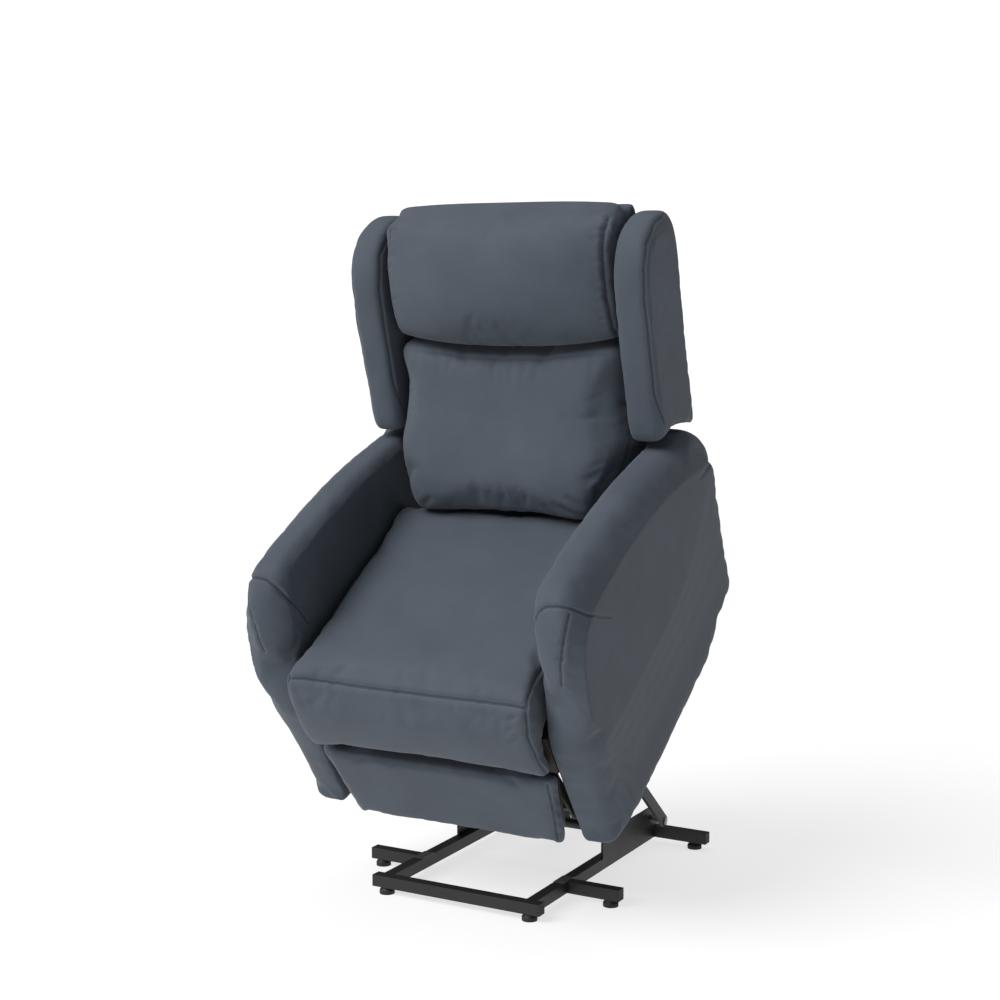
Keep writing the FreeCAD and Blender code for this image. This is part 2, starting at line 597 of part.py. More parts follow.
# Arms
arm_outline = [("0", "arm_low"), ("0", "arm_low + 450"), ("arm_depth - 12", "arm_low + 400"),
               ("arm_depth - 44", "arm_low + 76"), ("arm_depth - 150", "arm_low + 33"),
               ("arm_depth - 260", "arm_low")]
pad_outline = [("0", "arm_low + 450"), ("34", "arm_top"), ("300", "arm_top"),
               ("arm_depth - 90", "arm_top - 76"),
               ("arm_depth + 4", "arm_top - 100"), ("arm_depth - 12", "arm_low + 400")]
panel_outline = [("60", "arm_low + 33"), ("arm_depth - 230", "arm_low + 33"),
                 ("arm_depth - 230", "seat_high"), ("60", "seat_high")]
bolts, arm_frames = [], []
for side, sign in SIDES:
    panel_x = start(sign, size("arm_inner"), size("arm_inner") + size("arm_panel"))
    arm_frames.append(slab(f"arm frame {side}", chair, panel_x, panel_outline, "arm_panel", bolt_holes))
    whole = slab(f"arm upholstery {side}", chair, start(sign, size("arm_inner"), size("arm_outer")),
                 arm_outline, "arm_outer - arm_inner", (), {0: 12, 3: 18, 4: 160, 5: 160})
    pocket = slab(f"arm pocket {side}", chair, panel_x, panel_outline, "arm_panel")
    node(f"arm_{side}", cut(f"arm_{side}", whole, [pocket]))
    pad_x = start(sign, size("arm_inner"), size("arm_pad_outer"))
    node(f"arm_pad_{side}", slab(f"arm_pad_{side}", chair, pad_x, pad_outline, "arm_pad_outer - arm_inner",
                                 (), {1: 80, 2: 200, 4: 50}, 20))
    for i, step in enumerate(BOLT_STEPS):
        y, z = size("seat_front") + step, size("seat_low") + size("bolt_rise")
        stem = rod(f"arm bolt {side} {i} stem", chair,
                   (start(sign, seat_inner, size("arm_inner") + size("arm_panel")), y, z),
                   "arm_bolt", "board + arm_panel")
        head = rod(f"arm bolt {side} {i} head", chair,
                   (start(sign, seat_inner - size("bolt_head_thick"), seat_inner), y, z),
                   "bolt_head", "bolt_head_thick")
        bolts.append(fused(f"arm bolt {side} {i}", [stem, head]))
group("arm_frames", arm_frames)
group("arm_bolts", bolts)

# Backrest
hinge_place = (size("hinge_y"), size("hinge_z"))
plate_in = seat_inner - size("hinge_plate")
arm_in = plate_in - 1 - size("hinge_plate")
tube_outer = arm_in
tube_inner = tube_outer - size("back_tube")
front_a = size("back_frame_front")
group("hinge_plates", [slab(
    f"hinge plate {side}", chair, start(sign, plate_in, seat_inner),
    [("hinge_y - 66", "hinge_z - 48"), ("hinge_y + 18", "hinge_z - 48"), ("hinge_y + 18", "hinge_z + 20"),
     ("hinge_y - 66", "hinge_z + 20")],
    "hinge_plate", [("hinge_y", "hinge_z", "pin_radius")], {1: 14, 2: 16}) for side, sign in SIDES])
chair_pins += [shaft(f"recline {side} pin", chair, hinge_place, sign, arm_in - 0.5, seat_inner, True)
               for side, sign in SIDES]
group("chair_pins", chair_pins)
group("hinge_arms", [slab(
    f"hinge arm {side}", hinge, start(sign, arm_in, arm_in + size("hinge_plate")),
    [("-14", "-14"), ("14", "-14"), ("back_frame_front + back_tube", "-4"),
     ("back_frame_front + back_tube", "130"), ("back_frame_front", "130"), ("-14", "14")],
    "hinge_plate", [(0, 0, "pin_radius + pin_play")], {0: 12, 1: 10, 5: 12, 4: 10}) for side, sign in SIDES])


def back_tube(label, corner, axis, length):
    """A square tube of the back frame, along X or up the back."""
    x, y, z = corner
    wall = size("rail_wall")
    lengths = {"x": (length, "back_tube", "back_tube"), "z": ("back_tube", "back_tube", length)}[axis]
    hollow = [text if text == length else "back_tube - 2 * rail_wall" for text in lengths]
    inner_corner = {"x": (x, y + wall, z + wall), "z": (x + wall, y + wall, z)}[axis]
    outer = box(label + " outer", hinge, corner, lengths)
    return cut(label, outer, [box(label + " hollow", hinge, inner_corner, hollow)])


derive("back_cross_length", 2 * tube_inner)
group("back_frame_tubes",
      [back_tube(f"back upright {side}", (start(sign, tube_inner, tube_outer), front_a, -5), "z",
                 "back_frame_top + 5")
       for side, sign in SIDES]
      + [back_tube(f"back cross {tag}", (-tube_inner, front_a, z), "x", "back_cross_length")
         for tag, z in (("lower", -5), ("upper", size("back_frame_top") - size("back_tube")))])
derive("webbing_length", 2 * tube_outer)
derive("wing_plate_length", size("wing_inner") - tube_outer)
straps = []
for i in range(5):
    corner = (-tube_outer, front_a - size("webbing_thick"), size("webbing_low") + size("webbing_step") * i)
    straps.append(box(f"strap {i}", hinge, corner, ("webbing_length", "webbing_thick", "webbing_width")))
group("back_webbing", straps)
lever_place = (size("lever_y"), size("lever_z"))
group("recline_lever", [slab(
    f"recline lever {side}", hinge, size("lever_x") + start(sign, lug_inner, lug_outer),
    [("back_frame_front", "-5"), ("lever_y - 12", "lever_z + 12"), ("lever_y - 12", "lever_z - 12"),
     ("lever_y + 12", "lever_z - 12"), ("back_frame_front + back_tube", "-5")],
    "lug_thick", [("lever_y", "lever_z", "pin_radius")], {2: 11, 3: 11}) for side, sign in SIDES]
    + [cross_pin("recline lever pin", hinge, lever_place, size("lever_x"))])
derive("back_width", 2 * size("back_half"))
shell_front = "back_frame_front + back_tube + 1"
node("back_shell", slab(
    "back_shell", hinge, -size("back_half"),
    [(shell_front, "shell_low"), (shell_front + " + shell_thick", "shell_low"),
     (shell_front + " + shell_thick", "shell_top - 90"), ("back_frame_front + back_tube - 4", "head_top - 4"),
     ("cushion_back + 3", "head_top - 4"), ("cushion_back + 3", "shell_top - 20"),
     (shell_front, "shell_top - 80")],
    "back_width", (), {2: 60, 3: 12}, 3))
node("back_cushion", slab(
    "back_cushion", hinge, -size("back_half") + size("seat_play"),
    [("-lumbar", "125"), ("-10", "175"), ("cushion_back", "178"), ("cushion_back", "back_split - 1"),
     ("-48", "back_split - 1"), ("-112", "330"), ("-lumbar + 4", "215")],
    "back_width - 2 * seat_play", (), {0: 26, 4: 30, 6: 60}, 10))
node("headrest_cushion", slab(
    "headrest_cushion", hinge, -size("back_half") + size("seat_play"),
    [("-56", "back_split + 1"), ("-102", "back_split + 70"), ("-98", "head_top - 90"), ("-30", "head_top"),
     ("cushion_back", "head_top"), ("cushion_back", "back_split + 1")],
    "back_width - 2 * seat_play", (), {0: 24, 1: 50, 2: 60, 3: 40, 4: 16}, 12))
wing_back = "back_frame_front + back_tube + shell_thick + 1"
wing_plates = []
for side, sign in SIDES:
    node(f"wing_{side}", slab(
        f"wing_{side}", hinge, start(sign, size("wing_inner"), size("wing_outer")),
        [("-wing_front", "sqrt(wing_clear * wing_clear - wing_front * wing_front)"), ("-wing_front", "600"),
         ("-26", "wing_top"), ("96", "wing_top"), (wing_back, "wing_top - 120"),
         (wing_back, f"sqrt(wing_clear * wing_clear - ({wing_back}) * ({wing_back}))"),
         ("0", "wing_clear + 2")],
        "wing_outer - wing_inner", (), {1: 110, 2: 70, 3: 40, 4: 90}, 20))
    for i, z in enumerate((360, 560)):
        wing_plates.append(box(f"wing plate {side} {i}", hinge,
                               (start(sign, tube_outer, size("wing_inner")), front_a, z),
                               ("wing_plate_length", "hinge_plate", "webbing_width")))
group("wing_brackets", wing_plates)

# Footrest
foot_pivot = (size("foot_pivot_y"), size("foot_pivot_z"))
foot_knee = (size("foot_pivot_y"), size("foot_pivot_z") - size("foot_link_a"))
foot_joint = (size("foot_joint_y"), size("foot_joint_z"))
lower_length, lower_angle = span(foot_knee, foot_joint)
derive("foot_link_b", lower_length)
knee_frame = chair.multiply(shift(0, *foot_knee, lower_angle))
# Planes of the footrest linkage along X, from the seat's side rail inwards.
plate_x = seat_inner - size("foot_plate")
upper_outer = plate_x - size("link_gap")
upper_inner = upper_outer - size("foot_link_thick")
lower_outer = upper_inner - size("link_gap")
lower_inner = lower_outer - size("foot_link_thick")
panel_outer = lower_inner - size("link_gap")
panel_inner = panel_outer - size("foot_link_thick")
round_end = {corner: "foot_link_width / 2 - 0.2" for corner in range(4)}
pad_rear = "pad_front + pad_thick + panel_board"
foot_plates, upper_links, lower_links, knee_pins, joint_pins, panel_brackets = [], [], [], [], [], []
for side, sign in SIDES:
    foot_plates.append(slab(
        f"footrest plate {side}", chair, start(sign, plate_x, seat_inner),
        [("seat_front + board", "seat_high"), ("seat_front + board", "seat_low"),
         ("foot_pivot_y - 16", "foot_pivot_z - 16"), ("foot_pivot_y + 16", "foot_pivot_z - 16"),
         ("foot_pivot_y + 30", "seat_high")],
        "foot_plate", [("foot_pivot_y", "foot_pivot_z", "pin_radius + pin_play")], {2: 12, 3: 14}))
    upper_links.append(slab(
        f"footrest upper link {side}", chair, start(sign, upper_inner, upper_outer),
        [("foot_pivot_y - foot_link_width / 2", "foot_pivot_z - foot_link_a - foot_link_width / 2"),
         ("foot_pivot_y + foot_link_width / 2", "foot_pivot_z - foot_link_a - foot_link_width / 2"),
         ("foot_pivot_y + foot_link_width / 2", "foot_pivot_z + foot_link_width / 2"),
         ("foot_pivot_y - foot_link_width / 2", "foot_pivot_z + foot_link_width / 2")],
        "foot_link_thick", [("foot_pivot_y", "foot_pivot_z", "pin_radius"),
                            ("foot_pivot_y", "foot_pivot_z - foot_link_a", "pin_radius")], round_end))
    lower_links.append(slab(
        f"footrest lower link {side}", knee_frame, start(sign, lower_inner, lower_outer),
        [("-foot_link_width / 2", "-foot_link_width / 2"),
         ("foot_link_b + foot_link_width / 2", "-foot_link_width / 2"),
         ("foot_link_b + foot_link_width / 2", "foot_link_width / 2"),
         ("-foot_link_width / 2", "foot_link_width / 2")],
        "foot_link_thick", [(0, 0, "pin_radius + pin_play"), ("foot_link_b", 0, "pin_radius + pin_play")],
        round_end))
    knee_pins.append(shaft(f"knee {side} pin", chair, foot_knee, sign, lower_inner - 0.5, upper_outer, True))
    joint_pins.append(shaft(f"panel {side} pin", chair, foot_joint, sign, panel_inner, lower_outer, True))
    panel_brackets.append(slab(
        f"panel bracket {side}", chair, start(sign, panel_inner, panel_outer),
        [(pad_rear, "foot_joint_z - 44"), ("foot_joint_y + 11", "foot_joint_z - 11"),
         ("foot_joint_y + 11", "foot_joint_z + 11"), (pad_rear, "foot_joint_z + 20")],
        "foot_link_thick", [("foot_joint_y", "foot_joint_z", "pin_radius")], {1: 9, 2: 9}))
group("footrest_plates", foot_plates)
group("footrest_upper_links", upper_links)
group("footrest_lower_links", lower_links)
group("footrest_knee_pins", knee_pins)
group("footrest_panel_pins", joint_pins)
group("footrest_panel_brackets", panel_brackets)
torque_pin = seat_inner - upper_inner - 0.5
derive("foot_tube_length", 2 * upper_inner)
derive("foot_tube_pin", torque_pin)
node("footrest_torque_tube", fused("footrest_torque_tube", [
    rod("torque tube", chair, (-upper_inner, *foot_pivot), "foot_tube", "foot_tube_length"),
    rod("torque pin left", chair, (upper_inner, *foot_pivot), "pin_radius", "foot_tube_pin"),
    rod("torque pin right", chair, (-upper_inner - torque_pin, *foot_pivot), "pin_radius", "foot_tube_pin")]))
crank_arm = turned((size("crank_radius"), 0.0), size("crank_angle"))
crank_place = (foot_pivot[0] + crank_arm[0], foot_pivot[1] + crank_arm[1])
crank_frame = chair.multiply(shift(0, *foot_pivot, size("crank_angle")))
yoke_half = size("crank_thick") / 2
cheek_inner = yoke_half + size("link_gap")
cheek_outer = cheek_inner + size("crank_thick")
derive("crank_pin_length", 2 * cheek_outer)
crank_parts = [slab(
    f"crank cheek {side}", crank_frame, size("crank_x") + start(sign, cheek_inner, cheek_outer),
    [("-15", "-15"), ("crank_radius + 10", "-10"), ("crank_radius + 10", "10"), ("-15", "15")],
    "crank_thick", [(0, 0, "foot_tube"), ("crank_radius", 0, "pin_radius")], {0: 12, 1: 9, 2: 9, 3: 12})
    for side, sign in SIDES]
crank_parts.append(rod("footrest crank pin", chair, (size("crank_x") - cheek_outer, *crank_place),
                       "pin_radius", "crank_pin_length"))
group("footrest_crank", crank_parts)
facing = FreeCAD.Rotation(FreeCAD.Vector(0, 0, 1), 90)
board_depth = size("pad_front") + size("pad_thick")
for label, depth, thick, edge in (("footrest_pad", size("pad_front"), "pad_thick", 8),
                                  ("footrest_board", board_depth, "panel_board", None)):
    inset = "" if edge else " - board_inset"
    raise_by = "" if edge else " + board_inset"
    frame = chair.multiply(FreeCAD.Placement(FreeCAD.Vector(0, depth, 0), facing))
    node(label, slab(label, frame, 0.0,
                     [(f"-(panel_half_low{inset})", f"panel_low{raise_by}"),
                      (f"panel_half_low{inset}", f"panel_low{raise_by}"),
                      (f"panel_half_high{inset}", f"panel_high{inset}"),
                      (f"-(panel_half_high{inset})", f"panel_high{inset}")],
                     thick, (), {0: 34, 1: 34, 2: 14, 3: 14}, edge))


# Linear drives
def drive(label, own, shortest, now, longest, reach, beside, way):
    """Housing with gearbox and motor, then the tube, both along +Y of their frame from the rear pin.

    The motor lies way (1 or -1) along Z, or along X if it is beside the tube. Returns the rod's stem, which
    ends reach short of its pin and keeps some of its length in the tube."""
    tag = name(label)
    gear_end = size("gear_length")
    tube_end = shortest - reach - 12
    rod_start = now - (longest - tube_end + size("rod_inside"))
    offset = way * (size("tube_radius") + size("motor_radius") + 3)
    low = min(-size("tube_radius") - 5, offset - size("motor_radius") - 2)
    derive(tag + "_tube_length", tube_end - gear_end)
    derive(tag + "_rod_length", now - reach - rod_start)
    eye = rod(f"{label} rear eye", own, (-size("eye_half"), 0, 0), "eye_radius", "2 * eye_half")
    neck = box(f"{label} neck", own, (-size("eye_half"), 0, -size("eye_radius") + 2),
               ("2 * eye_half", "gear_start + 1", "2 * eye_radius - 4"))
    across = "2 * (tube_radius + motor_radius) + 10"
    sides = (across, "2 * gear_half") if beside else ("2 * gear_half", across)
    corner = (low, -size("gear_half")) if beside else (-size("gear_half"), low)
    block = box(f"{label} gear block", own, (corner[0], size("gear_start"), corner[1]),
                (sides[0], "gear_length - gear_start", sides[1]))
    middle = (offset, gear_end, 0) if beside else (0, gear_end, offset)
    motor = rod(f"{label} motor", own, middle, "motor_radius", "motor_length", "y")
    hole = rod(f"{label} rear hole", own, (-size("eye_half") - 1, 0, 0), "pin_radius + pin_play",
               "2 * eye_half + 2")
    node(tag + "_housing", cut(tag + "_housing", fused(f"{label} casing", [eye, neck, block, motor]), [hole]))
    outer = rod(f"{label} tube outer", own, (0, gear_end, 0), "tube_radius", tag + "_tube_length", "y")
    bore = rod(f"{label} tube bore", own, (0, gear_end, 0), "rod_radius + rod_play",
               tag + "_tube_length", "y")
    node(tag + "_tube", cut(tag + "_tube", outer, [bore]))
    return rod(f"{label} rod stem", own, (0, rod_start, 0), "rod_radius", tag + "_rod_length", "y")


def eye_drive(label, own, shortest, now, longest, beside, way):
    """A drive whose rod ends in an eye that goes round a pin with the open pivot's play."""
    stem = drive(label, own, shortest, now, longest, size("open_eye") - 4, beside, way)
    outer = rod(f"{label} front eye", own, (-size("eye_half"), now, 0), "open_eye", "2 * eye_half")
    hole = rod(f"{label} front hole", own, (-size("eye_half") - 1, now, 0), "pin_radius + open_play",
               "2 * eye_half + 2")
    node(name(label) + "_rod", cut(name(label) + "_rod", fused(f"{label} rod body", [stem, outer]), [hole]))


front_turn = span(front_pivot, lowered(front_eye))[1] % 360 - front_angle
lever_low = turned(lever_turn, front_turn)
lift_now, lift_angle = span(clevis_place, lift_lever_place)
lift_long, lift_low_angle = span(clevis_place, (front_pivot[0] + lever_low[0], front_pivot[1] + lever_low[1]))
lift_own = base.multiply(shift(0, *clevis_place, lift_angle))
eye_drive("lift drive", lift_own, lift_now, lift_now, lift_long, True, -1)
lever_rest = turned(lever_place, -size("back_lean"))
lever_back = turned(lever_place, -size("back_lean") - size("recline_range"))
lever_up = (hinge_place[0] + lever_rest[0], hinge_place[1] + lever_rest[1])
lever_down = (hinge_place[0] + lever_back[0], hinge_place[1] + lever_back[1])
recline_now, recline_angle = span(recline_place, lever_up)
recline_short, recline_low_angle = span(recline_place, lever_down)
recline_own = chair.multiply(shift(size("lever_x"), *recline_place, recline_angle))
eye_drive("recline drive", recline_own, recline_short, recline_now, recline_now, False, -1)
crank_open = turned((size("crank_radius"), 0.0), size("crank_angle") - size("footrest_range"))
foot_now = drive_place[0] - crank_place[0]
foot_long = drive_place[0] - foot_pivot[0] - crank_open[0]
foot_own = chair.multiply(shift(size("crank_x"), *drive_place, 180))
stem = drive("footrest drive", foot_own, foot_now, foot_now, foot_long, size("yoke_back"), False, 1)
yoke = box("yoke plate", foot_own, (-yoke_half, foot_now - size("yoke_back"), -size("yoke_half_height")),
           ("crank_thick", "yoke_back + 14", "2 * yoke_half_height"))
slot_half = size("pin_radius") + size("slot_play")
slot = box("yoke slot", foot_own, (-yoke_half, foot_now - slot_half, -size("slot_half_height")),
           ("crank_thick", "2 * (pin_radius + slot_play)", "2 * slot_half_height"))
node("footrest_drive_rod", cut("footrest_drive_rod", fused("footrest rod body", [stem, yoke]), [slot]))

# Control box
node("control_box", box("control_box", chair,
                        (size("box_inner"), size("box_front"), size("cross_w") - size("cross_radius")
                         - size("box_depth")),
                        ("box_outer - box_inner", "box_rear - box_front", "box_depth")))

# Checks and export
doc.recompute()
for thing in doc.Objects:
    for word in ("Invalid", "Error"):
        if word in thing.State:
            raise SystemExit(f"{thing.Name} is {word}")
for label, thing in nodes.items():
    if thing.Shape.isNull() or not thing.Shape.isValid() or not thing.Shape.Solids:
        raise SystemExit(f"{label} has no valid solid")
for label, thing in nodes.items():
    thing.Shape.exportStep(f"parts/{label}.step")
places = {
    "front link pivot": front_pivot, "rear link pivot": rear_pivot, "front eye": raised(front_eye),
    "rear eye": raised(rear_eye), "clevis": clevis_place, "lift lever pin": lift_lever_place,
    "recline hinge": raised(hinge_place), "recline drive pivot": raised(recline_place),
    "footrest pivot": raised(foot_pivot), "footrest knee": raised(foot_knee),
    "panel joint": raised(foot_joint),
}
for label, (y, z) in places.items():
    print(f"{label}: y {y - size('origin_back'):.3f} z {z:.3f}")
low_front, low_rear = span(front_pivot, lowered(front_eye))[1], span(rear_pivot, lowered(rear_eye))[1]
print(f"front link {front_angle:.4f} to {low_front:.4f}, rear link {rear_angle:.4f} to {low_rear:.4f}")
print(f"lift drive {lift_now:.3f} to {lift_long:.3f}, {lift_angle:.4f} to {lift_low_angle:.4f}")
print(f"recline drive {recline_now:.3f} to {recline_short:.3f}, "
      f"{recline_angle:.4f} to {recline_low_angle:.4f}")
print(f"footrest drive {foot_now:.3f} to {foot_long:.3f}, lower link {lower_angle:.4f}")
print(len(nodes), "nodes")
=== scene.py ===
import bpy
import json
import math
import random
import numpy as np
from mathutils import Matrix, Vector


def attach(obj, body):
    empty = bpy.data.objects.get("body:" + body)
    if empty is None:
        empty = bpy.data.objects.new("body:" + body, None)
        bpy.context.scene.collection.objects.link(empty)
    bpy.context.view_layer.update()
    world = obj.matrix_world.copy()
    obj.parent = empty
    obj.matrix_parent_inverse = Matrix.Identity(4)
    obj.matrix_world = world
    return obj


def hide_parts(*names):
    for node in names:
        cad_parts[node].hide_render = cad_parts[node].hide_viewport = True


# Raised lift recliner: the upholstery is cut, stuffed and sewn here, and the steelwork gets its finishes.

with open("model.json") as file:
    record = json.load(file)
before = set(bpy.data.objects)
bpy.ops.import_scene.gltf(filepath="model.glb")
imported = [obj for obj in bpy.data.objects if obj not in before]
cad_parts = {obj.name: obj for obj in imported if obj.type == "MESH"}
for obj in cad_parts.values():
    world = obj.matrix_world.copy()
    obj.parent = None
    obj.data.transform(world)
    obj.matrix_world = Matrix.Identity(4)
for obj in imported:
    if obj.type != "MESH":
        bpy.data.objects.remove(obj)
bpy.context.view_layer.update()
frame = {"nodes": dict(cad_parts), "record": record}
scene = bpy.context.scene
scene.frame_start, scene.frame_end = 1, 20
print("frame loaded", len(frame["nodes"]), "nodes")

# the chair leans forward on its lift, and the back leans back on the chair; metres and degrees
leanFacts = {"chairAt": (0, -0.149, 0.1436), "chairTilt": 33, "hingeAt": (0, 0.6, 0.29), "backLean": -17}


def leaning(at, degrees):
    return Matrix.Translation(at) @ Matrix.Rotation(math.radians(degrees), 4, "X")


seatPlace = leaning(leanFacts["chairAt"], leanFacts["chairTilt"])
backPlace = seatPlace @ leaning(leanFacts["hingeAt"], leanFacts["backLean"])
seamReach = 30  # mm from a sewn line at which it stops showing
pathStep = 6.0  # mm between the points of a sewn line
outlineStep = 11.0  # mm between the points of an outline


# colours and finishes

def toLinear(hexColour):
    parts = [int(hexColour[i:i + 2], 16) / 255 for i in (1, 3, 5)]
    return tuple(c / 12.92 if c <= 0.04045 else ((c + 0.055) / 1.055) ** 2.4 for c in parts) + (1.0,)


def addNode(material, kind, settings=None, **links):
    # settings are properties or socket values; links are socket name = (node, output), i0 is input 0
    node = material.node_tree.nodes.new(kind)
    for key, value in (settings or {}).items():
        if isinstance(key, int) or key in node.inputs:
            node.inputs[key].default_value = value
        else:
            setattr(node, key, value)
    for key, (source, output) in links.items():
        socket = int(key[1:]) if key[0] == "i" and key[1:].isdigit() else key.replace("_", " ")
        material.node_tree.links.new(source.outputs[output], node.inputs[socket])
    return node


def newMaterial(title):
    material = bpy.data.materials.new(title)
    material.use_nodes = True
    return material, material.node_tree.nodes["Principled BSDF"]


def join(material, source, output, target, socket):
    material.node_tree.links.new(source.outputs[output], target.inputs[socket])


def ramp(material, source, output, stops):
    node = addNode(material, "ShaderNodeValToRGB")
    elements = node.color_ramp.elements
    while len(elements) < len(stops):
        elements.new(0.5)
    for element, (place, colour) in zip(elements, stops):
        element.position = place
        element.color = colour if isinstance(colour, tuple) else toLinear(colour)
    join(material, source, output, node, "Fac")
    return node


clothFacts = {
    # seamShade is painted shade: a darker cloth colour laid along each sewn line for the shade in its crease
    "dark": "#424a54", "mid": "#474f59", "light": "#4c545f", "seamShade": "#2d333b", "thread": "#525b65",
    "yarnScale": 98.678975,  # yarns about 3 mm apart, drawn coarser than the real cloth so that they show
    "yarnTurns": ((0, 0, 0), (0.35, 1.2, 0.2)), "yarnBow": 1.2,
    "grain": 1400, "mottle": 9, "ripple": 26, "roughness": 0.74, "sheen": 0.12,
    "stitchRow": 0.835, "stitchWidth": 0.022,  # a row 5 mm each side of the seam
    "stitchBeat": 0.00275, "stitchGap": 0.00075,  # 4 mm stitches, 1.5 mm apart
}


def makeCloth(title, facts):
    # matt woven upholstery cloth: fine crossed yarns, soft sheen at grazing angles, slight mottling
    material, shader = newMaterial(title)
    spot = addNode(material, "ShaderNodeTexCoord")
    mottle = addNode(material, "ShaderNodeTexNoise",
                     {"Scale": facts["mottle"], "Detail": 4.0, "Roughness": 0.6}, Vector=(spot, "Object"))
    tone = ramp(material, mottle, "Fac",
                [(0.3, facts["dark"]), (0.5, facts["mid"]), (0.72, facts["light"])])
    yarns = []
    for turn in facts["yarnTurns"]:
        spread = addNode(material, "ShaderNodeMapping", {"Rotation": turn}, Vector=(spot, "Object"))
        yarns.append(addNode(material, "ShaderNodeTexWave",
                             {"wave_type": "BANDS", "bands_direction": "X", "Scale": facts["yarnScale"],
                              "Distortion": facts["yarnBow"], "Detail": 2.0, "Detail Scale": 2.0},
                             Vector=(spread, "Vector")))
    weave = addNode(material, "ShaderNodeMath", {"operation": "MULTIPLY"},
                    i0=(yarns[0], "Fac"), i1=(yarns[1], "Fac"))
    grain = addNode(material, "ShaderNodeTexNoise", {"Scale": facts["grain"], "Detail": 3.0},
                    Vector=(spot, "Object"))
    relief = addNode(material, "ShaderNodeMath", {"operation": "ADD"}, i0=(weave, 0), i1=(grain, "Fac"))
    speckTone = ramp(material, relief, 0, [(0.35, (0.62, 0.62, 0.62, 1)), (1.0, (1.12, 1.12, 1.12, 1))])
    speck = addNode(material, "ShaderNodeMix", {"data_type": "RGBA", "blend_type": "MULTIPLY", 0: 0.35},
                    A=(tone, "Color"), B=(speckTone, "Color"))
    # seams: how near the sewn line is, and how far along it
    nearness = addNode(material, "ShaderNodeAttribute", {"attribute_name": "seamNear"})
    run = addNode(material, "ShaderNodeAttribute", {"attribute_name": "seamRun"})
    # painted shade: within a few mm of each sewn line the cloth colour turns to the darker seamShade colour,
    # standing in for the shade in the seam's crease
    seamShadeMask = ramp(material, nearness, "Fac", [(0.86, (0, 0, 0, 1)), (0.99, (1, 1, 1, 1))])
    seamShaded = addNode(material, "ShaderNodeMix", {"data_type": "RGBA"},
                      Factor=(seamShadeMask, "Color"), A=(speck, "Result"))
    seamShaded.inputs["B"].default_value = toLinear(facts["seamShade"])
    row = addNode(material, "ShaderNodeMath",
                  {"operation": "COMPARE", 1: facts["stitchRow"], 2: facts["stitchWidth"]},
                  i0=(nearness, "Fac"))
    beat = addNode(material, "ShaderNodeMath", {"operation": "PINGPONG", 1: facts["stitchBeat"]},
                   i0=(run, "Fac"))
    dash = addNode(material, "ShaderNodeMath", {"operation": "GREATER_THAN", 1: facts["stitchGap"]},
                   i0=(beat, 0))
    stitch = addNode(material, "ShaderNodeMath", {"operation": "MULTIPLY"}, i0=(row, 0), i1=(dash, 0))
    sewn = addNode(material, "ShaderNodeMix", {"data_type": "RGBA"},
                   Factor=(stitch, 0), A=(seamShaded, "Result"))
    sewn.inputs["B"].default_value = toLinear(facts["thread"])
    join(material, sewn, "Result", shader, "Base Color")
    wear = addNode(material, "ShaderNodeMapRange",
                   {"To Min": facts["roughness"] - 0.08, "To Max": facts["roughness"] + 0.1},
                   Value=(mottle, "Fac"))
    join(material, wear, "Result", shader, "Roughness")
    lift = addNode(material, "ShaderNodeMath", {"operation": "MULTIPLY_ADD", 1: 1.4},
                   i0=(stitch, 0), i2=(relief, 0))
    bump = addNode(material, "ShaderNodeBump", {"Strength": 0.22, "Distance": 0.0006}, Height=(lift, 0))
    ripple = addNode(material, "ShaderNodeTexNoise", {"Scale": facts["ripple"], "Detail": 3.0},
                     Vector=(spot, "Object"))
    soft = addNode(material, "ShaderNodeBump", {"Strength": 0.18, "Distance": 0.004}, Height=(ripple, "Fac"),
                   Normal=(bump, "Normal"))
    join(material, soft, "Normal", shader, "Normal")
    shader.inputs["Sheen Weight"].default_value = facts["sheen"]
    shader.inputs["Sheen Roughness"].default_value = 0.45
    shader.inputs["Specular IOR Level"].default_value = 0.35
    return material


def makePaint(title, base, edge, roughness, grit, depth, metallic=0.0):
    # sprayed, plated or moulded skin: fine texture in the surface breaks up the shine, faint wear in the tone
    material, shader = newMaterial(title)
    spot = addNode(material, "ShaderNodeTexCoord")
    cloud = addNode(material, "ShaderNodeTexNoise", {"Scale": 14.0, "Detail": 5.0, "Roughness": 0.65},
                    Vector=(spot, "Object"))
    tone = ramp(material, cloud, "Fac", [(0.3, base), (0.75, edge)])
    join(material, tone, "Color", shader, "Base Color")
    dull = addNode(material, "ShaderNodeMapRange", {"To Min": roughness - 0.07, "To Max": roughness + 0.12},
                   Value=(cloud, "Fac"))
    join(material, dull, "Result", shader, "Roughness")
    skin = addNode(material, "ShaderNodeTexNoise", {"Scale": grit, "Detail": 2.0}, Vector=(spot, "Object"))
    bump = addNode(material, "ShaderNodeBump", {"Strength": 0.3, "Distance": depth}, Height=(skin, "Fac"))
    join(material, bump, "Normal", shader, "Normal")
    shader.inputs["Metallic"].default_value = metallic
    return material


def makePly(title):
    # dark-stained birch plywood, its tone darkened further as painted shade for the gap beside the seat: long
    # thin grain with darker streaks
    material, shader = newMaterial(title)
    spot = addNode(material, "ShaderNodeTexCoord")
    spread = addNode(material, "ShaderNodeMapping", {"Scale": (6.0, 6.0, 90.0), "Rotation": (0.58, 0, 0)},
                     Vector=(spot, "Object"))
    grain = addNode(material, "ShaderNodeTexNoise", {"Scale": 3.0, "Detail": 8.0, "Roughness": 0.7},
                    Vector=(spread, "Vector"))
    # these near-black tones are partly the stain and partly painted shade
    tone = ramp(material, grain, "Fac", [(0.3, "#17130f"), (0.55, "#211b16"), (0.8, "#2b241d")])
    join(material, tone, "Color", shader, "Base Color")
    shader.inputs["Roughness"].default_value = 0.7
    bump = addNode(material, "ShaderNodeBump", {"Strength": 0.25, "Distance": 0.0004}, Height=(grain, "Fac"))
    join(material, bump, "Normal", shader, "Normal")
    return material


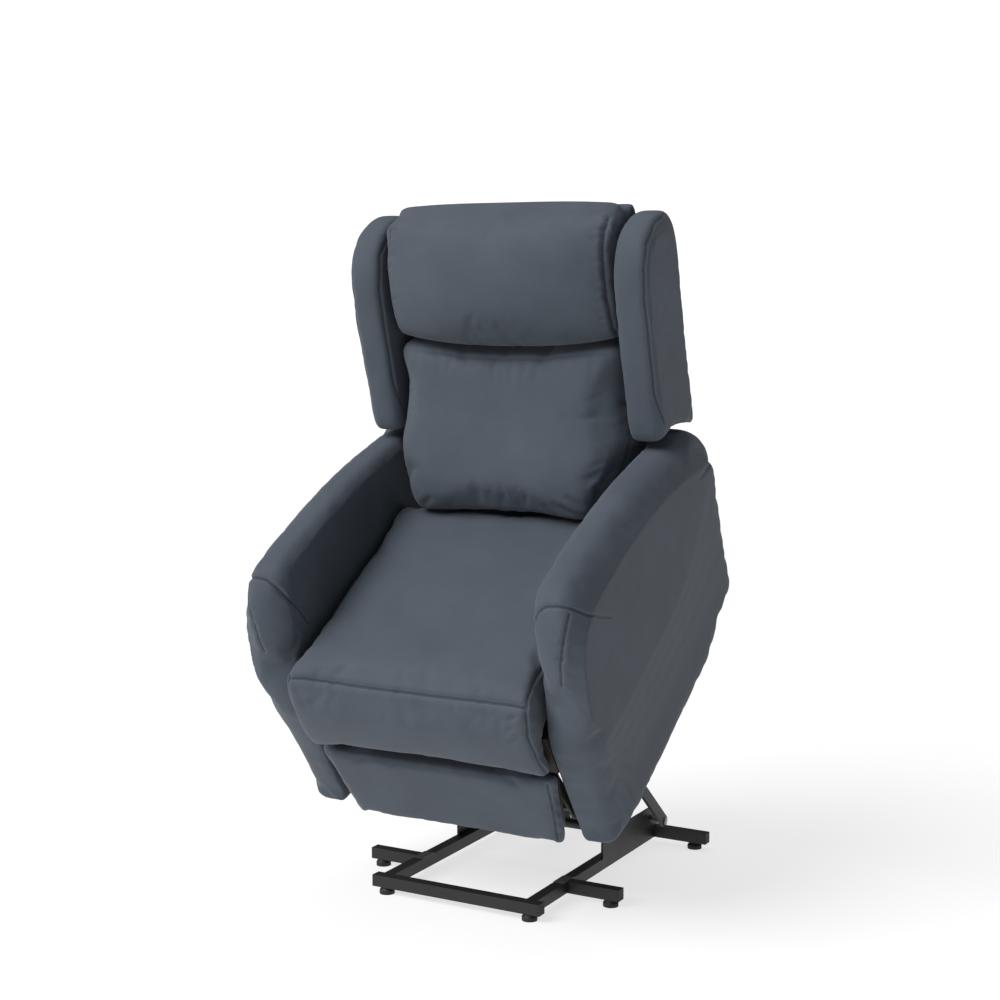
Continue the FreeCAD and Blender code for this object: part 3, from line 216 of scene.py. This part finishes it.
def makeWebbing(title):
    # elastic woven webbing: tight ribs across each strap
    material, shader = newMaterial(title)
    spot = addNode(material, "ShaderNodeTexCoord")
    ribs = addNode(material, "ShaderNodeTexWave",
                   {"wave_type": "BANDS", "bands_direction": "X", "Scale": 60.0, "Distortion": 0.4},
                   Vector=(spot, "Object"))
    tone = ramp(material, ribs, "Fac", [(0.2, "#15171a"), (0.9, "#34373b")])
    join(material, tone, "Color", shader, "Base Color")
    shader.inputs["Roughness"].default_value = 0.85
    bump = addNode(material, "ShaderNodeBump", {"Strength": 0.4, "Distance": 0.0006}, Height=(ribs, "Fac"))
    join(material, bump, "Normal", shader, "Normal")
    return material


wovenCloth = makeCloth("slateWovenUpholstery", clothFacts)
finishes = {
    "frame_steel": makePaint("blackPowderCoat", "#0d0d0d", "#181817", 0.46, 900, 0.00012),
    "plate_steel": makePaint("greySatinPaint", "#454746", "#5a5c5a", 0.42, 1200, 0.0001),
    "zinc_steel": makePaint("brightZincPlate", "#8f8f8a", "#b5b4ad", 0.34, 700, 0.00006, 0.95),
    "drive_tube_steel": makePaint("blackSatinTube", "#0d0d0e", "#1a1a1b", 0.36, 1500, 0.00005),
    "black_plastic": makePaint("mouldedBlackRubberPlastic", "#0d0d0d", "#191919", 0.62, 2200, 0.0001),
    "drive_plastic": makePaint("sparkErodedBlackPlastic", "#111214", "#1c1d1f", 0.55, 2600, 0.00014),
    "plywood": makePly("stainedBirchPlywoodWithPaintedShade"),
    "webbing": makeWebbing("blackElasticWebbing"),
    "upholstery": wovenCloth,
}
for entry in frame["record"]["subparts"]:
    node = frame["nodes"][entry["node"]]
    node.data.materials.clear()
    node.data.materials.append(finishes[entry["material_slot"]])
print("finishes made")


# making a padded piece: cut the outline, thicken, round the rim, stuff, sew

def deselectAll():
    bpy.ops.object.select_all(action="DESELECT")


def smoothLoop(points):
    # a closed curve through the points, in even steps
    pts = np.array(points, dtype=float)
    line = []
    for i in range(len(pts)):
        p0, p1, p2, p3 = (pts[(i + k - 1) % len(pts)] for k in range(4))
        count = max(2, int(np.hypot(*(p2 - p1)) / outlineStep))
        for j in range(count):
            t = j / count
            line.append(0.5 * (2 * p1 + (p2 - p0) * t + (2 * p0 - 5 * p1 + 4 * p2 - p3) * t ** 2
                               + (3 * p1 - p0 - 3 * p2 + p3) * t ** 3))
    return line


def coordsOf(pad):
    flatList = np.empty(len(pad.data.vertices) * 3, dtype=np.float32)
    pad.data.vertices.foreach_get("co", flatList)
    return flatList.reshape(-1, 3).astype(float) * 1000


def setCoords(pad, coords):
    pad.data.vertices.foreach_set("co", (coords / 1000).astype(np.float32).ravel())
    pad.data.update()


def normalsOf(pad):
    flatList = np.empty(len(pad.data.vertices) * 3, dtype=np.float32)
    pad.data.vertices.foreach_get("normal", flatList)
    return flatList.reshape(-1, 3).astype(float)


def finishWith(pad, kind, **settings):
    deselectAll()
    pad.select_set(True)
    bpy.context.view_layer.objects.active = pad
    modifier = pad.modifiers.new(kind.lower(), kind)
    for key, value in settings.items():
        setattr(modifier, key, value)
    bpy.ops.object.modifier_apply(modifier=modifier.name)


def cutBlank(name, facts):
    # the outline runs in the side view, or in the front view when the piece is a front panel
    outline = smoothLoop(facts["outline"])
    low, high = facts["span"]
    front = facts.get("front", False)
    deselectAll()
    bpy.ops.mesh.primitive_circle_add(vertices=len(outline), radius=0.1, fill_type="NGON")
    pad = bpy.context.active_object
    pad.name = name
    for vertex, (p, q) in zip(pad.data.vertices, outline):
        vertex.co = (p / 1000, low / 1000, q / 1000) if front else (low / 1000, p / 1000, q / 1000)
    pad.location = (0, 0, 0)
    along = (0, (high - low) / 1000, 0) if front else ((high - low) / 1000, 0, 0)
    axis = 1 if front else 0
    bpy.ops.object.mode_set(mode="EDIT")
    bpy.ops.mesh.select_all(action="SELECT")
    bpy.ops.mesh.extrude_region_move(TRANSFORM_OT_translate={"value": along})
    bpy.ops.mesh.select_all(action="SELECT")
    bpy.ops.mesh.normals_make_consistent(inside=False)
    bpy.ops.mesh.select_all(action="DESELECT")
    bpy.ops.object.mode_set(mode="OBJECT")
    for edge in pad.data.edges:
        a, b = (pad.data.vertices[i].co[axis] for i in edge.vertices)
        edge.select = abs(a - b) < 1e-6
    bpy.ops.object.mode_set(mode="EDIT")
    bpy.ops.mesh.select_mode(type="EDGE")
    bpy.ops.mesh.bevel(offset=facts["rim"] / 1000, segments=5, affect="EDGES", clamp_overlap=False)
    bpy.ops.object.mode_set(mode="OBJECT")
    finishWith(pad, "REMESH", mode="VOXEL", voxel_size=facts["voxel"] / 1000)
    finishWith(pad, "SMOOTH", factor=0.5, iterations=facts.get("ease", 6))
    if "shape" in facts:
        setCoords(pad, facts["shape"](coordsOf(pad)))
    return pad


stuffFrames = 20
sheetFacts = {
    "quality": 4, "mass": 0.3, "air_damping": 2, "tension_stiffness": 14, "compression_stiffness": 14,
    "shear_stiffness": 6, "bending_stiffness": 0.6, "use_pressure": True, "vertex_group_mass": "tacked",
}


def stuff(pad, facts):
    # cloth blown up from inside, held where it is tacked, with its travel capped
    before = coordsOf(pad)
    held = pad.vertex_groups.new(name="tacked")
    grip = facts["held"](before)
    for index in np.nonzero(grip > 0)[0]:
        held.add([int(index)], float(grip[index]), "REPLACE")
    deselectAll()
    pad.select_set(True)
    bpy.context.view_layer.objects.active = pad
    cloth = pad.modifiers.new("cloth", "CLOTH")
    sheet = cloth.settings
    for key, value in sheetFacts.items():
        setattr(sheet, key, value)
    sheet.uniform_pressure_force = facts["pressure"]
    sheet.effector_weights.gravity = 0
    sheet.shrink_min = -facts.get("slack", 0.02)
    cloth.point_cache.frame_start, cloth.point_cache.frame_end = 1, stuffFrames
    for step in range(1, stuffFrames + 1):
        scene.frame_set(step)
    bpy.ops.object.modifier_apply(modifier="cloth")
    scene.frame_set(1)
    move = coordsOf(pad) - before
    length = np.linalg.norm(move, axis=1)
    cap = facts["cap"]
    scale = np.where(length > 1e-6, cap * np.tanh(length / cap) / np.maximum(length, 1e-6), 0)
    setCoords(pad, before + move * scale[:, None])


def stuffedPad(name, facts):
    # a piece with nothing to hold it is pulled tight, and isn't stuffed
    pad = cutBlank(name, facts)
    if "held" in facts:
        stuff(pad, facts)
    finishWith(pad, "SUBSURF", levels=1, render_levels=1)
    return pad


def pathOn(pad, path):
    # the path in even steps, each point dropped on the surface
    pts = np.array(path, dtype=float)
    out = []
    for a, b in zip(pts[:-1], pts[1:]):
        count = max(1, int(np.linalg.norm(b - a) / pathStep))
        out += [a + (b - a) * k / count for k in range(count)]
    out.append(pts[-1])
    placed = []
    for p in out:
        hit, where, _, _ = pad.closest_point_on_mesh(Vector(p / 1000))
        placed.append(np.array(where) * 1000 if hit else p)
    return np.array(placed)


def nearestOn(line, coords, reach):
    # distance to the line and how far along it, for the points within reach
    low, high = line.min(axis=0) - reach, line.max(axis=0) + reach
    near = np.nonzero(np.all((coords > low) & (coords < high), axis=1))[0]
    pts = coords[near]
    best = np.full(len(near), 1e9)
    along = np.zeros(len(near))
    run = 0.0
    for a, b in zip(line[:-1], line[1:]):
        edge = b - a
        size = max(np.linalg.norm(edge), 1e-6)
        t = np.clip(((pts - a) @ edge) / size ** 2, 0, 1)
        gap = np.linalg.norm(pts - (a + t[:, None] * edge), axis=1)
        closer = gap < best
        best[closer] = gap[closer]
        along[closer] = run + t[closer] * size
        run += size
    return near, best, along, run


def press(pad, path, depth, width, fade=False, puff=0.0, sewn=False):
    # a sewn line or a crease pressed into the surface; fade lets it run out at both ends
    line = pathOn(pad, path)
    coords, normals = coordsOf(pad), normalsOf(pad)
    near, gap, along, total = nearestOn(line, coords, max(seamReach, width * 3))
    strength = np.exp(-(gap / width) ** 2)
    if puff:
        strength -= puff * np.exp(-((gap - 2.4 * width) / (1.2 * width)) ** 2)
    if fade:
        strength *= np.clip(np.sin(np.pi * np.clip(along / total, 0, 1)), 0, 1) ** 0.7
    coords[near] -= normals[near] * (depth * strength)[:, None]
    setCoords(pad, coords)
    if sewn:
        markSeam(pad, near, gap, along)
    return line


def markSeam(pad, near, gap, along):
    # seamNear is 1 on the line and 0 where it stops showing, seamRun is metres along it
    for title in ("seamNear", "seamRun"):
        if title not in pad.data.attributes:
            pad.data.attributes.new(title, "FLOAT", "POINT")
    count = len(pad.data.vertices)
    closeness, run = np.zeros(count, dtype=np.float32), np.zeros(count, dtype=np.float32)
    pad.data.attributes["seamNear"].data.foreach_get("value", closeness)
    pad.data.attributes["seamRun"].data.foreach_get("value", run)
    fresh = 1 - np.clip(gap / seamReach, 0, 1)
    better = fresh > closeness[near]
    closeness[near[better]] = fresh[better]
    run[near[better]] = along[better] / 1000
    pad.data.attributes["seamNear"].data.foreach_set("value", closeness)
    pad.data.attributes["seamRun"].data.foreach_set("value", run)


def gather(pad, line, toward, facts, seed):
    # short puckers that run from a sewn line towards the middle of the panel
    chance = random.Random(seed)
    spot = 0.0
    total = len(line) - 1
    while True:
        spot += chance.uniform(*facts["every"]) / pathStep
        if spot >= total:
            return
        root = line[int(spot)]
        aim = np.array(toward, dtype=float) + np.array([chance.uniform(-0.35, 0.35) for _ in range(3)])
        aim /= np.linalg.norm(aim)
        size = chance.uniform(*facts["length"])
        press(pad, [root, root + aim * size * 0.5, root + aim * size], chance.uniform(*facts["depth"]),
              chance.uniform(*facts["width"]), fade=True, puff=0.35)


def trim(pad, facts):
    # keeps a piece between its neighbours, and clear of what the back swings past
    coords = coordsOf(pad)
    for axis, low, high in facts["walls"]:
        coords[:, axis] = np.clip(coords[:, axis], low, high)
    if "clear" in facts:
        reach = np.maximum(np.hypot(coords[:, 1], coords[:, 2]), 1)
        coords[:, 1:] *= np.maximum(1, facts["clear"] / reach)[:, None]
    setCoords(pad, coords)


def place(pad, frameOf, body, *replaced, fill=0.8):
    # put on the chair and dressed, hiding the parts it replaces
    pad.data.transform(frameOf)
    for face in pad.data.polygons:
        face.use_smooth = True
    pad.data.materials.clear()
    pad.data.materials.append(wovenCloth)
    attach(pad, body)
    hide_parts(*replaced)
    print("padded", pad.name, len(pad.data.polygons), "faces")


def mirrored(pad, name):
    # the same piece for the other side, its faces turned back outwards
    other = pad.copy()
    other.data = pad.data.copy()
    other.name = name
    bpy.context.collection.objects.link(other)
    other.data.transform(Matrix.Scale(-1, 4, (1, 0, 0)))
    other.data.flip_normals()
    return other


def within(low, high, value):
    t = np.clip((value - low) / (high - low), 0, 1)
    return t * t * (3 - 2 * t)


# seat cushion: top panel, sewn front edge and a roll down to the footrest

def seatHeld(c):
    return ((c[:, 2] < 352) & (c[:, 1] > 20)).astype(float)


seatFacts = {
    "outline": [(560, 352), (420, 350), (240, 350), (60, 350), (22, 346), (14, 320), (10, 270), (4, 246),
                (-8, 243), (-18, 256), (-26, 290), (-31, 335), (-32, 380), (-28, 412), (-12, 434),
                (20, 443), (120, 447), (260, 449), (400, 450), (500, 449), (545, 440), (562, 415),
                (565, 380)],
    "span": (-283, 283), "rim": 11, "voxel": 8, "held": seatHeld, "cap": 12, "pressure": 3.5,
    "walls": ((0, -284, 284), (1, -42, 572)),
}
seatCushion = stuffedPad("seatCushion", seatFacts)
seatFront = press(seatCushion, [(-276, -14, 440), (-140, -17, 444), (0, -18, 445), (140, -17, 444),
                                (276, -14, 440)],
                  5.0, 5.5, puff=0.25, sewn=True)
for side in (-1, 1):
    press(seatCushion, [(side * 279, 560, 452), (side * 279, 300, 452), (side * 279, 20, 446),
                        (side * 280, -14, 440), (side * 280, -36, 380), (side * 280, -30, 300),
                        (side * 278, -14, 250)], 4.0, 5.0, sewn=True)
gather(seatCushion, seatFront, (0, -0.25, -1),
       {"every": (45, 120), "length": (16, 42), "depth": (0.8, 1.8), "width": (4, 7)}, 11)
for x, w, depth in ((262, 426, 3.2), (258, 398, 2.6), (262, 372, 2.2), (-262, 420, 2.4), (-258, 392, 2.0)):
    lean = -30 if x > 0 else 30
    press(seatCushion, [(x + lean * 0.1, -36, w + 6), (x + lean, -38, w - 10)], depth, 5, fade=True, puff=0.4)
trim(seatCushion, seatFacts)
place(seatCushion, seatPlace, "chair_body", "seat_cushion")


# arms: one padded side from sole to roll, slanted and sewn at the front, hanging over at the back

def armTop(u):
    return np.interp(u, [5, 42, 68, 100, 140, 235, 363, 489, 615, 690, 740, 785],
                     [484, 570, 601, 621, 631, 633, 625, 606, 577, 556, 530, 465])


def armShape(c):
    # x runs from the seat outwards: the shoulder hangs out, the top rounds over, the front slants back inside
    x, u, w = c.T
    inward = (x - 286) / 86
    below = armTop(u) - w
    shoulder = 22 * inward * within(120, 470, w) * (1 - 0.45 * within(380, 740, u)) * within(10, 90, below)
    over = 18 * np.clip((x - 334) / 40, 0, 1) ** 2 * within(130, 0, below)
    crown = 8 * np.clip((316 - x) / 30, 0, 1) ** 2 * within(60, 0, below)
    slant = 42 * np.clip(1 - inward, 0, 1) * within(300, 440, w) * within(150, 10, u)
    turn = 13 * np.clip(inward, 0, 1) ** 3.5 * within(40, 260, w) * within(130, 10, u)
    pinch = 0.14 * within(140, 0, u) * within(330, 60, w) * (x - 286)
    return np.stack([x + shoulder - pinch, u + slant + turn, w - over - crown], axis=1)


def armHeld(c):
    return ((c[:, 0] < 291) & (c[:, 2] < 440)).astype(float)


armFacts = {
    "outline": [(10, 36), (150, 33), (330, 32), (500, 34), (560, 42), (641, 68), (700, 88), (738, 106),
                (752, 150), (762, 230), (769, 310), (776, 380), (779, 428), (787, 456), (783, 489),
                (760, 524), (724, 556), (680, 562), (615, 577), (489, 605), (363, 623), (235, 632),
                (140, 631), (100, 621), (68, 601), (42, 570), (22, 528), (9, 484), (0, 420), (-4, 350),
                (-3, 260), (0, 150), (4, 70)],
    "span": (286, 373), "rim": 17, "voxel": 8, "shape": armShape,
    "held": armHeld, "cap": 9, "pressure": 3.5,
    "walls": ((0, 285.2, 394), (2, 27, 640)),
}
armPanel = stuffedPad("armLeft", armFacts)
crossSeam = press(armPanel, [(285, 118, 468), (285, 108, 515), (287, 92, 565), (294, 80, 600),
                             (320, 84, 618), (350, 92, 616), (376, 104, 598), (391, 122, 568),
                             (394, 155, 532), (394, 192, 498)], 3.4, 4.0, puff=0.3, sewn=True)
gather(armPanel, crossSeam, (0, 0.9, -0.1),
       {"every": (40, 90), "length": (14, 30), "depth": (0.6, 1.3), "width": (4, 6)}, 23)
press(armPanel, [(378, 88, 600), (366, 52, 562), (353, 27, 512), (345, 13, 465)],
      2.6, 3.6, puff=0.2, sewn=True)
for x, u, w, reach in ((364, 48, 554, 20), (356, 32, 526, 18)):
    press(armPanel, [(x - reach, u, w - 4), (x, u, w), (x + reach, u + 6, w + 5)], 1.7, 4.0, fade=True,
          puff=0.5)
press(armPanel, [(392, 640, 470), (388, 700, 452), (380, 776, 440), (340, 782, 436), (296, 778, 436)],
      3.0, 6.0,
      fade=True)
trim(armPanel, armFacts)
armRight = mirrored(armPanel, "armRight")
place(armPanel, seatPlace, "chair_body", "arm_left", "arm_pad_left")
place(armRight, seatPlace, "chair_body", "arm_right", "arm_pad_right")


# back cushion: proud at the small of the back, narrower at the bottom

def backShape(c):
    x, a, b = c.T
    narrow = 1 - 0.19 * within(300, 120, b) * within(60, -60, a)
    ends = 16 * np.clip(np.abs(x) / 272, 0, 1) ** 6 * within(20, -60, a)
    lift = 12 * (x / 275) ** 2 * within(400, 489, b)
    return np.stack([x * narrow, a + ends, b + lift], axis=1)


def backHeld(c):
    return (c[:, 1] > 60).astype(float)


backFacts = {
    "outline": [(72, 190), (20, 188), (-20, 180), (-70, 160), (-115, 142), (-146, 138), (-160, 152),
                (-162, 180), (-152, 216), (-132, 260), (-108, 308), (-86, 356), (-68, 402), (-54, 444),
                (-44, 468), (-26, 478), (20, 479), (72, 479)],
    "span": (-272, 272), "rim": 30, "voxel": 8, "shape": backShape,
    "held": backHeld, "cap": 16, "pressure": 4.0,
    "walls": ((0, -277, 277), (1, -182, 80)),
}
backCushion = stuffedPad("backCushion", backFacts)
for side in (-1, 1):
    sideSeam = press(backCushion, [(side * 277, 0, 480), (side * 277, -10, 400), (side * 277, -24, 320),
                                   (side * 262, -44, 240), (side * 240, -62, 180), (side * 226, -66, 150)],
                     4.0, 5.0, puff=0.2, sewn=True)
    gather(backCushion, sideSeam, (-side, 0, 0.1),
           {"every": (22, 60), "length": (18, 46), "depth": (0.8, 2.2), "width": (4, 7)}, 31 + side)
topSeam = press(backCushion, [(-250, -44, 484), (-120, -50, 478), (0, -52, 476), (120, -50, 478),
                              (250, -44, 484)],
                2.0, 5.0)
gather(backCushion, topSeam, (0, -0.3, -1),
       {"every": (26, 80), "length": (24, 70), "depth": (0.6, 1.7), "width": (5, 9)}, 41)
for x, b, depth in ((196, 150, 4.0), (176, 158, 3.2), (210, 172, 3.4), (150, 150, 2.4), (-196, 152, 3.0)):
    lean = -math.copysign(40, x)
    press(backCushion, [(x, -156, b), (x + lean, -166, b + 34)], depth, 7, fade=True, puff=0.4)
trim(backCushion, backFacts)
place(backCushion, backPlace, "backrest", "back_cushion")


# headrest: one fat roll over the back cushion, set back at its ends

def headShape(c):
    x, a, b = c.T
    ends = 44 * np.clip(np.abs(x) / 268, 0, 1) ** 2.6 * within(10, -70, a)
    lift = 12 * (x / 275) ** 2 * within(578, 489, b)
    crown = -8 * (np.abs(x) / 268) ** 3 * within(700, 775, b)
    return np.stack([x, a + ends, b + lift + crown], axis=1)


def headHeld(c):
    return (c[:, 1] > 60).astype(float)


headFacts = {
    "outline": [(72, 494), (10, 493), (-40, 494), (-68, 500), (-84, 524), (-91, 574), (-90, 630), (-83, 676),
                (-67, 716), (-44, 744), (-14, 759), (24, 764), (72, 763)],
    "span": (-272, 272), "rim": 20, "voxel": 8, "shape": headShape,
    "held": headHeld, "cap": 12, "slack": 0.0, "pressure": 4.0,
    "walls": ((0, -277, 277), (1, -110, 80), (2, 490, 779)),
}
headrest = stuffedPad("headrest", headFacts)
for side in (-1, 1):
    endSeam = press(headrest, [(side * 266, 10, 768), (side * 268, -30, 740), (side * 268, -46, 680),
                               (side * 268, -50, 600), (side * 266, -38, 530), (side * 264, -16, 506)],
                    4.0, 5.0, puff=0.25, sewn=True)
    gather(headrest, endSeam, (-side, 0, 0),
           {"every": (12, 30), "length": (14, 36), "depth": (1.0, 2.6), "width": (3.5, 5.5)}, 51 + side)
for x, reach, depth in ((-150, 60, 2.0), (-40, 70, 1.6), (90, 56, 1.8), (190, 44, 2.0)):
    press(headrest, [(x - reach, -20, 768), (x, -34, 764), (x + reach, -20, 768)], depth, 12, fade=True,
          puff=0.3)
trim(headrest, headFacts)
place(headrest, backPlace, "backrest", "headrest_cushion")


# wings: padded side pieces with a broad rounded front edge

def wingShape(c):
    # the front edge leans out a little towards the top
    x, a, b = c.T
    bow = 5 * within(60, -80, a) * within(300, 560, b)
    return np.stack([x + bow * within(284, 350, x), a, b], axis=1)


def wingHeld(c):
    return (c[:, 1] > 118).astype(float)


wingFacts = {
    "outline": [(-64, 292), (-73, 330), (-74, 420), (-74, 500), (-72, 575), (-67, 632), (-54, 676),
                (-30, 713), (4, 735), (50, 747), (88, 745), (108, 731), (121, 700), (126, 640), (126, 500),
                (126, 380), (124, 272), (106, 270), (60, 282), (4, 288), (-40, 286)],
    "span": (281, 352), "rim": 17, "voxel": 7, "shape": wingShape,
    "held": wingHeld, "cap": 9, "pressure": 4.0,
    "walls": ((0, 278.5, 358), (1, -90, 133)), "clear": 298,
}
wing = stuffedPad("wingLeft", wingFacts)
press(wing, [(351, -40, 330), (353, -62, 400), (354, -64, 500), (353, -62, 600), (352, -48, 664),
             (350, -20, 706), (348, 30, 734), (347, 84, 740)], 1.6, 4.5, puff=0.2, sewn=True)
press(wing, [(281, -40, 330), (280, -58, 400), (280, -58, 520), (280, -54, 620), (281, -30, 690),
             (282, 20, 724)],
      2.0, 4.5, sewn=True)
trim(wing, wingFacts)
otherWing = mirrored(wing, "wingRight")
place(wing, backPlace, "backrest", "wing_left")
place(otherWing, backPlace, "backrest", "wing_right")


# back shell: the upholstered outside back, pulled tight over its board

def shellShape(c):
    x, a, b = c.T
    bow = 4 * (1 - (x / 277) ** 2) * within(100, 128, a) * np.sin(np.clip((b + 30) / 680, 0, 1) * np.pi)
    return np.stack([x, a + bow, b], axis=1)


shellFacts = {
    "outline": [(113, -28), (122, -29), (129, -26), (130, 120), (130, 330), (130, 560), (129, 640),
                (123, 680), (112, 730), (105, 752), (98, 762), (88, 762), (84, 752), (86, 716), (104, 690),
                (112, 655), (113, 500), (113, 240)],
    "span": (-276.5, 276.5), "rim": 6, "voxel": 7, "shape": shellShape, "ease": 2,
}
backShell = stuffedPad("backShell", shellFacts)
press(backShell, [(-262, 131, -16), (0, 134, -16), (262, 131, -16)], 1.6, 4.5, sewn=True)
for side in (-1, 1):
    press(backShell, [(side * 262, 131, -16), (side * 262, 132, 300), (side * 262, 131, 640),
                      (side * 262, 110, 745)],
          1.6, 4.5, sewn=True)
place(backShell, backPlace, "backrest", "back_shell", fill=0.9)


# footrest panel: a thin soft board cover, wider at the top

def footHeld(c):
    return (c[:, 1] > 14).astype(float)


footFacts = {
    "outline": [(-232, 30), (-100, 29), (0, 29), (100, 29), (232, 30), (246, 38), (252, 60), (260, 110),
                (268, 165), (276, 210), (274, 224), (262, 228), (130, 229), (0, 229), (-130, 229),
                (-262, 228), (-274, 224), (-276, 210), (-268, 165), (-260, 110), (-252, 60), (-246, 38)],
    "span": (-7, 17.6), "front": True, "rim": 8, "voxel": 5.5, "held": footHeld, "cap": 7, "pressure": 3.0,
    "walls": ((1, -16, 17.8), (2, 25, 231.5)),
}
footPad = stuffedPad("footrestPad", footFacts)
press(footPad, [(-262, -8, 216), (-252, -8, 130), (-238, -8, 44), (0, -10, 42), (238, -8, 44), (252, -8, 130),
                (262, -8, 216)], 1.2, 4.5, sewn=True)
trim(footPad, footFacts)
place(footPad, seatPlace, "footrest_panel_body", "footrest_pad")
print("upholstery made")


# room: pale floor, soft light, camera

# the floor glows as a lit white sweep does, so shadows stay faint
roomFacts = {
    "floorSize": 60, "floorDark": "#9c9c9b", "floorLight": "#a2a2a1", "floorGlow": 0.7,
    "sky": (0.93, 0.96, 1.0, 1), "skyStrength": 0.14, "seen": (1, 1, 1, 1), "seenStrength": 1.1,
}
deselectAll()
bpy.ops.mesh.primitive_plane_add(size=roomFacts["floorSize"], location=(0, 0, 0))
floor = bpy.context.active_object
floor.name = "floor"
floorPaint, floorShader = newMaterial("paleStudioFloor")
floorSpot = addNode(floorPaint, "ShaderNodeTexCoord")
floorCloud = addNode(floorPaint, "ShaderNodeTexNoise", {"Scale": 1.5, "Detail": 3.0},
                     Vector=(floorSpot, "Object"))
floorTone = ramp(floorPaint, floorCloud, "Fac",
                 [(0.3, roomFacts["floorDark"]), (0.7, roomFacts["floorLight"])])
join(floorPaint, floorTone, "Color", floorShader, "Base Color")
floorShader.inputs["Roughness"].default_value = 0.6
floorShader.inputs["Emission Color"].default_value = (1, 1, 1, 1)
floorShader.inputs["Emission Strength"].default_value = roomFacts["floorGlow"]
floor.data.materials.append(floorPaint)

# the camera sees a white room, while the chair is lit by a dimmer one so that its far side falls dark
world = bpy.data.worlds.new("softbox")
world.use_nodes = True
tree = world.node_tree
tree.nodes["Background"].inputs["Color"].default_value = roomFacts["sky"]
tree.nodes["Background"].inputs["Strength"].default_value = roomFacts["skyStrength"]
seen = tree.nodes.new("ShaderNodeBackground")
seen.inputs["Color"].default_value = roomFacts["seen"]
seen.inputs["Strength"].default_value = roomFacts["seenStrength"]
ray = tree.nodes.new("ShaderNodeLightPath")
pick = tree.nodes.new("ShaderNodeMixShader")
tree.links.new(ray.outputs["Is Camera Ray"], pick.inputs[0])
tree.links.new(tree.nodes["Background"].outputs[0], pick.inputs[1])
tree.links.new(seen.outputs[0], pick.inputs[2])
tree.links.new(pick.outputs[0], tree.nodes["World Output"].inputs["Surface"])
scene.world = world

lamps = {
    "window": {"from": (-0.6, -0.85, 1.0), "strength": 3.0, "angle": 40},
    "ceiling": {"from": (-0.1, 0.1, 1.0), "strength": 0.6, "angle": 50},
}
for title, lamp in lamps.items():
    light = bpy.data.lights.new(title, "SUN")
    light.energy, light.angle = lamp["strength"], math.radians(lamp["angle"])
    holder = bpy.data.objects.new(title, light)
    holder.rotation_euler = (-Vector(lamp["from"])).to_track_quat("-Z", "Y").to_euler()
    bpy.context.collection.objects.link(holder)

cameraFacts = {"at": (1.8778, -3.3941, 1.310), "tilt": 83.17, "turn": 28.9, "lens": 65.55, "sensor": 36}
camera = bpy.data.objects.new("camera", bpy.data.cameras.new("camera"))
camera.location = cameraFacts["at"]
camera.rotation_euler = (math.radians(cameraFacts["tilt"]), 0, math.radians(cameraFacts["turn"]))
camera.data.lens = cameraFacts["lens"]
camera.data.sensor_width = cameraFacts["sensor"]
bpy.context.collection.objects.link(camera)
scene.camera = camera
scene.view_settings.view_transform = "Standard"
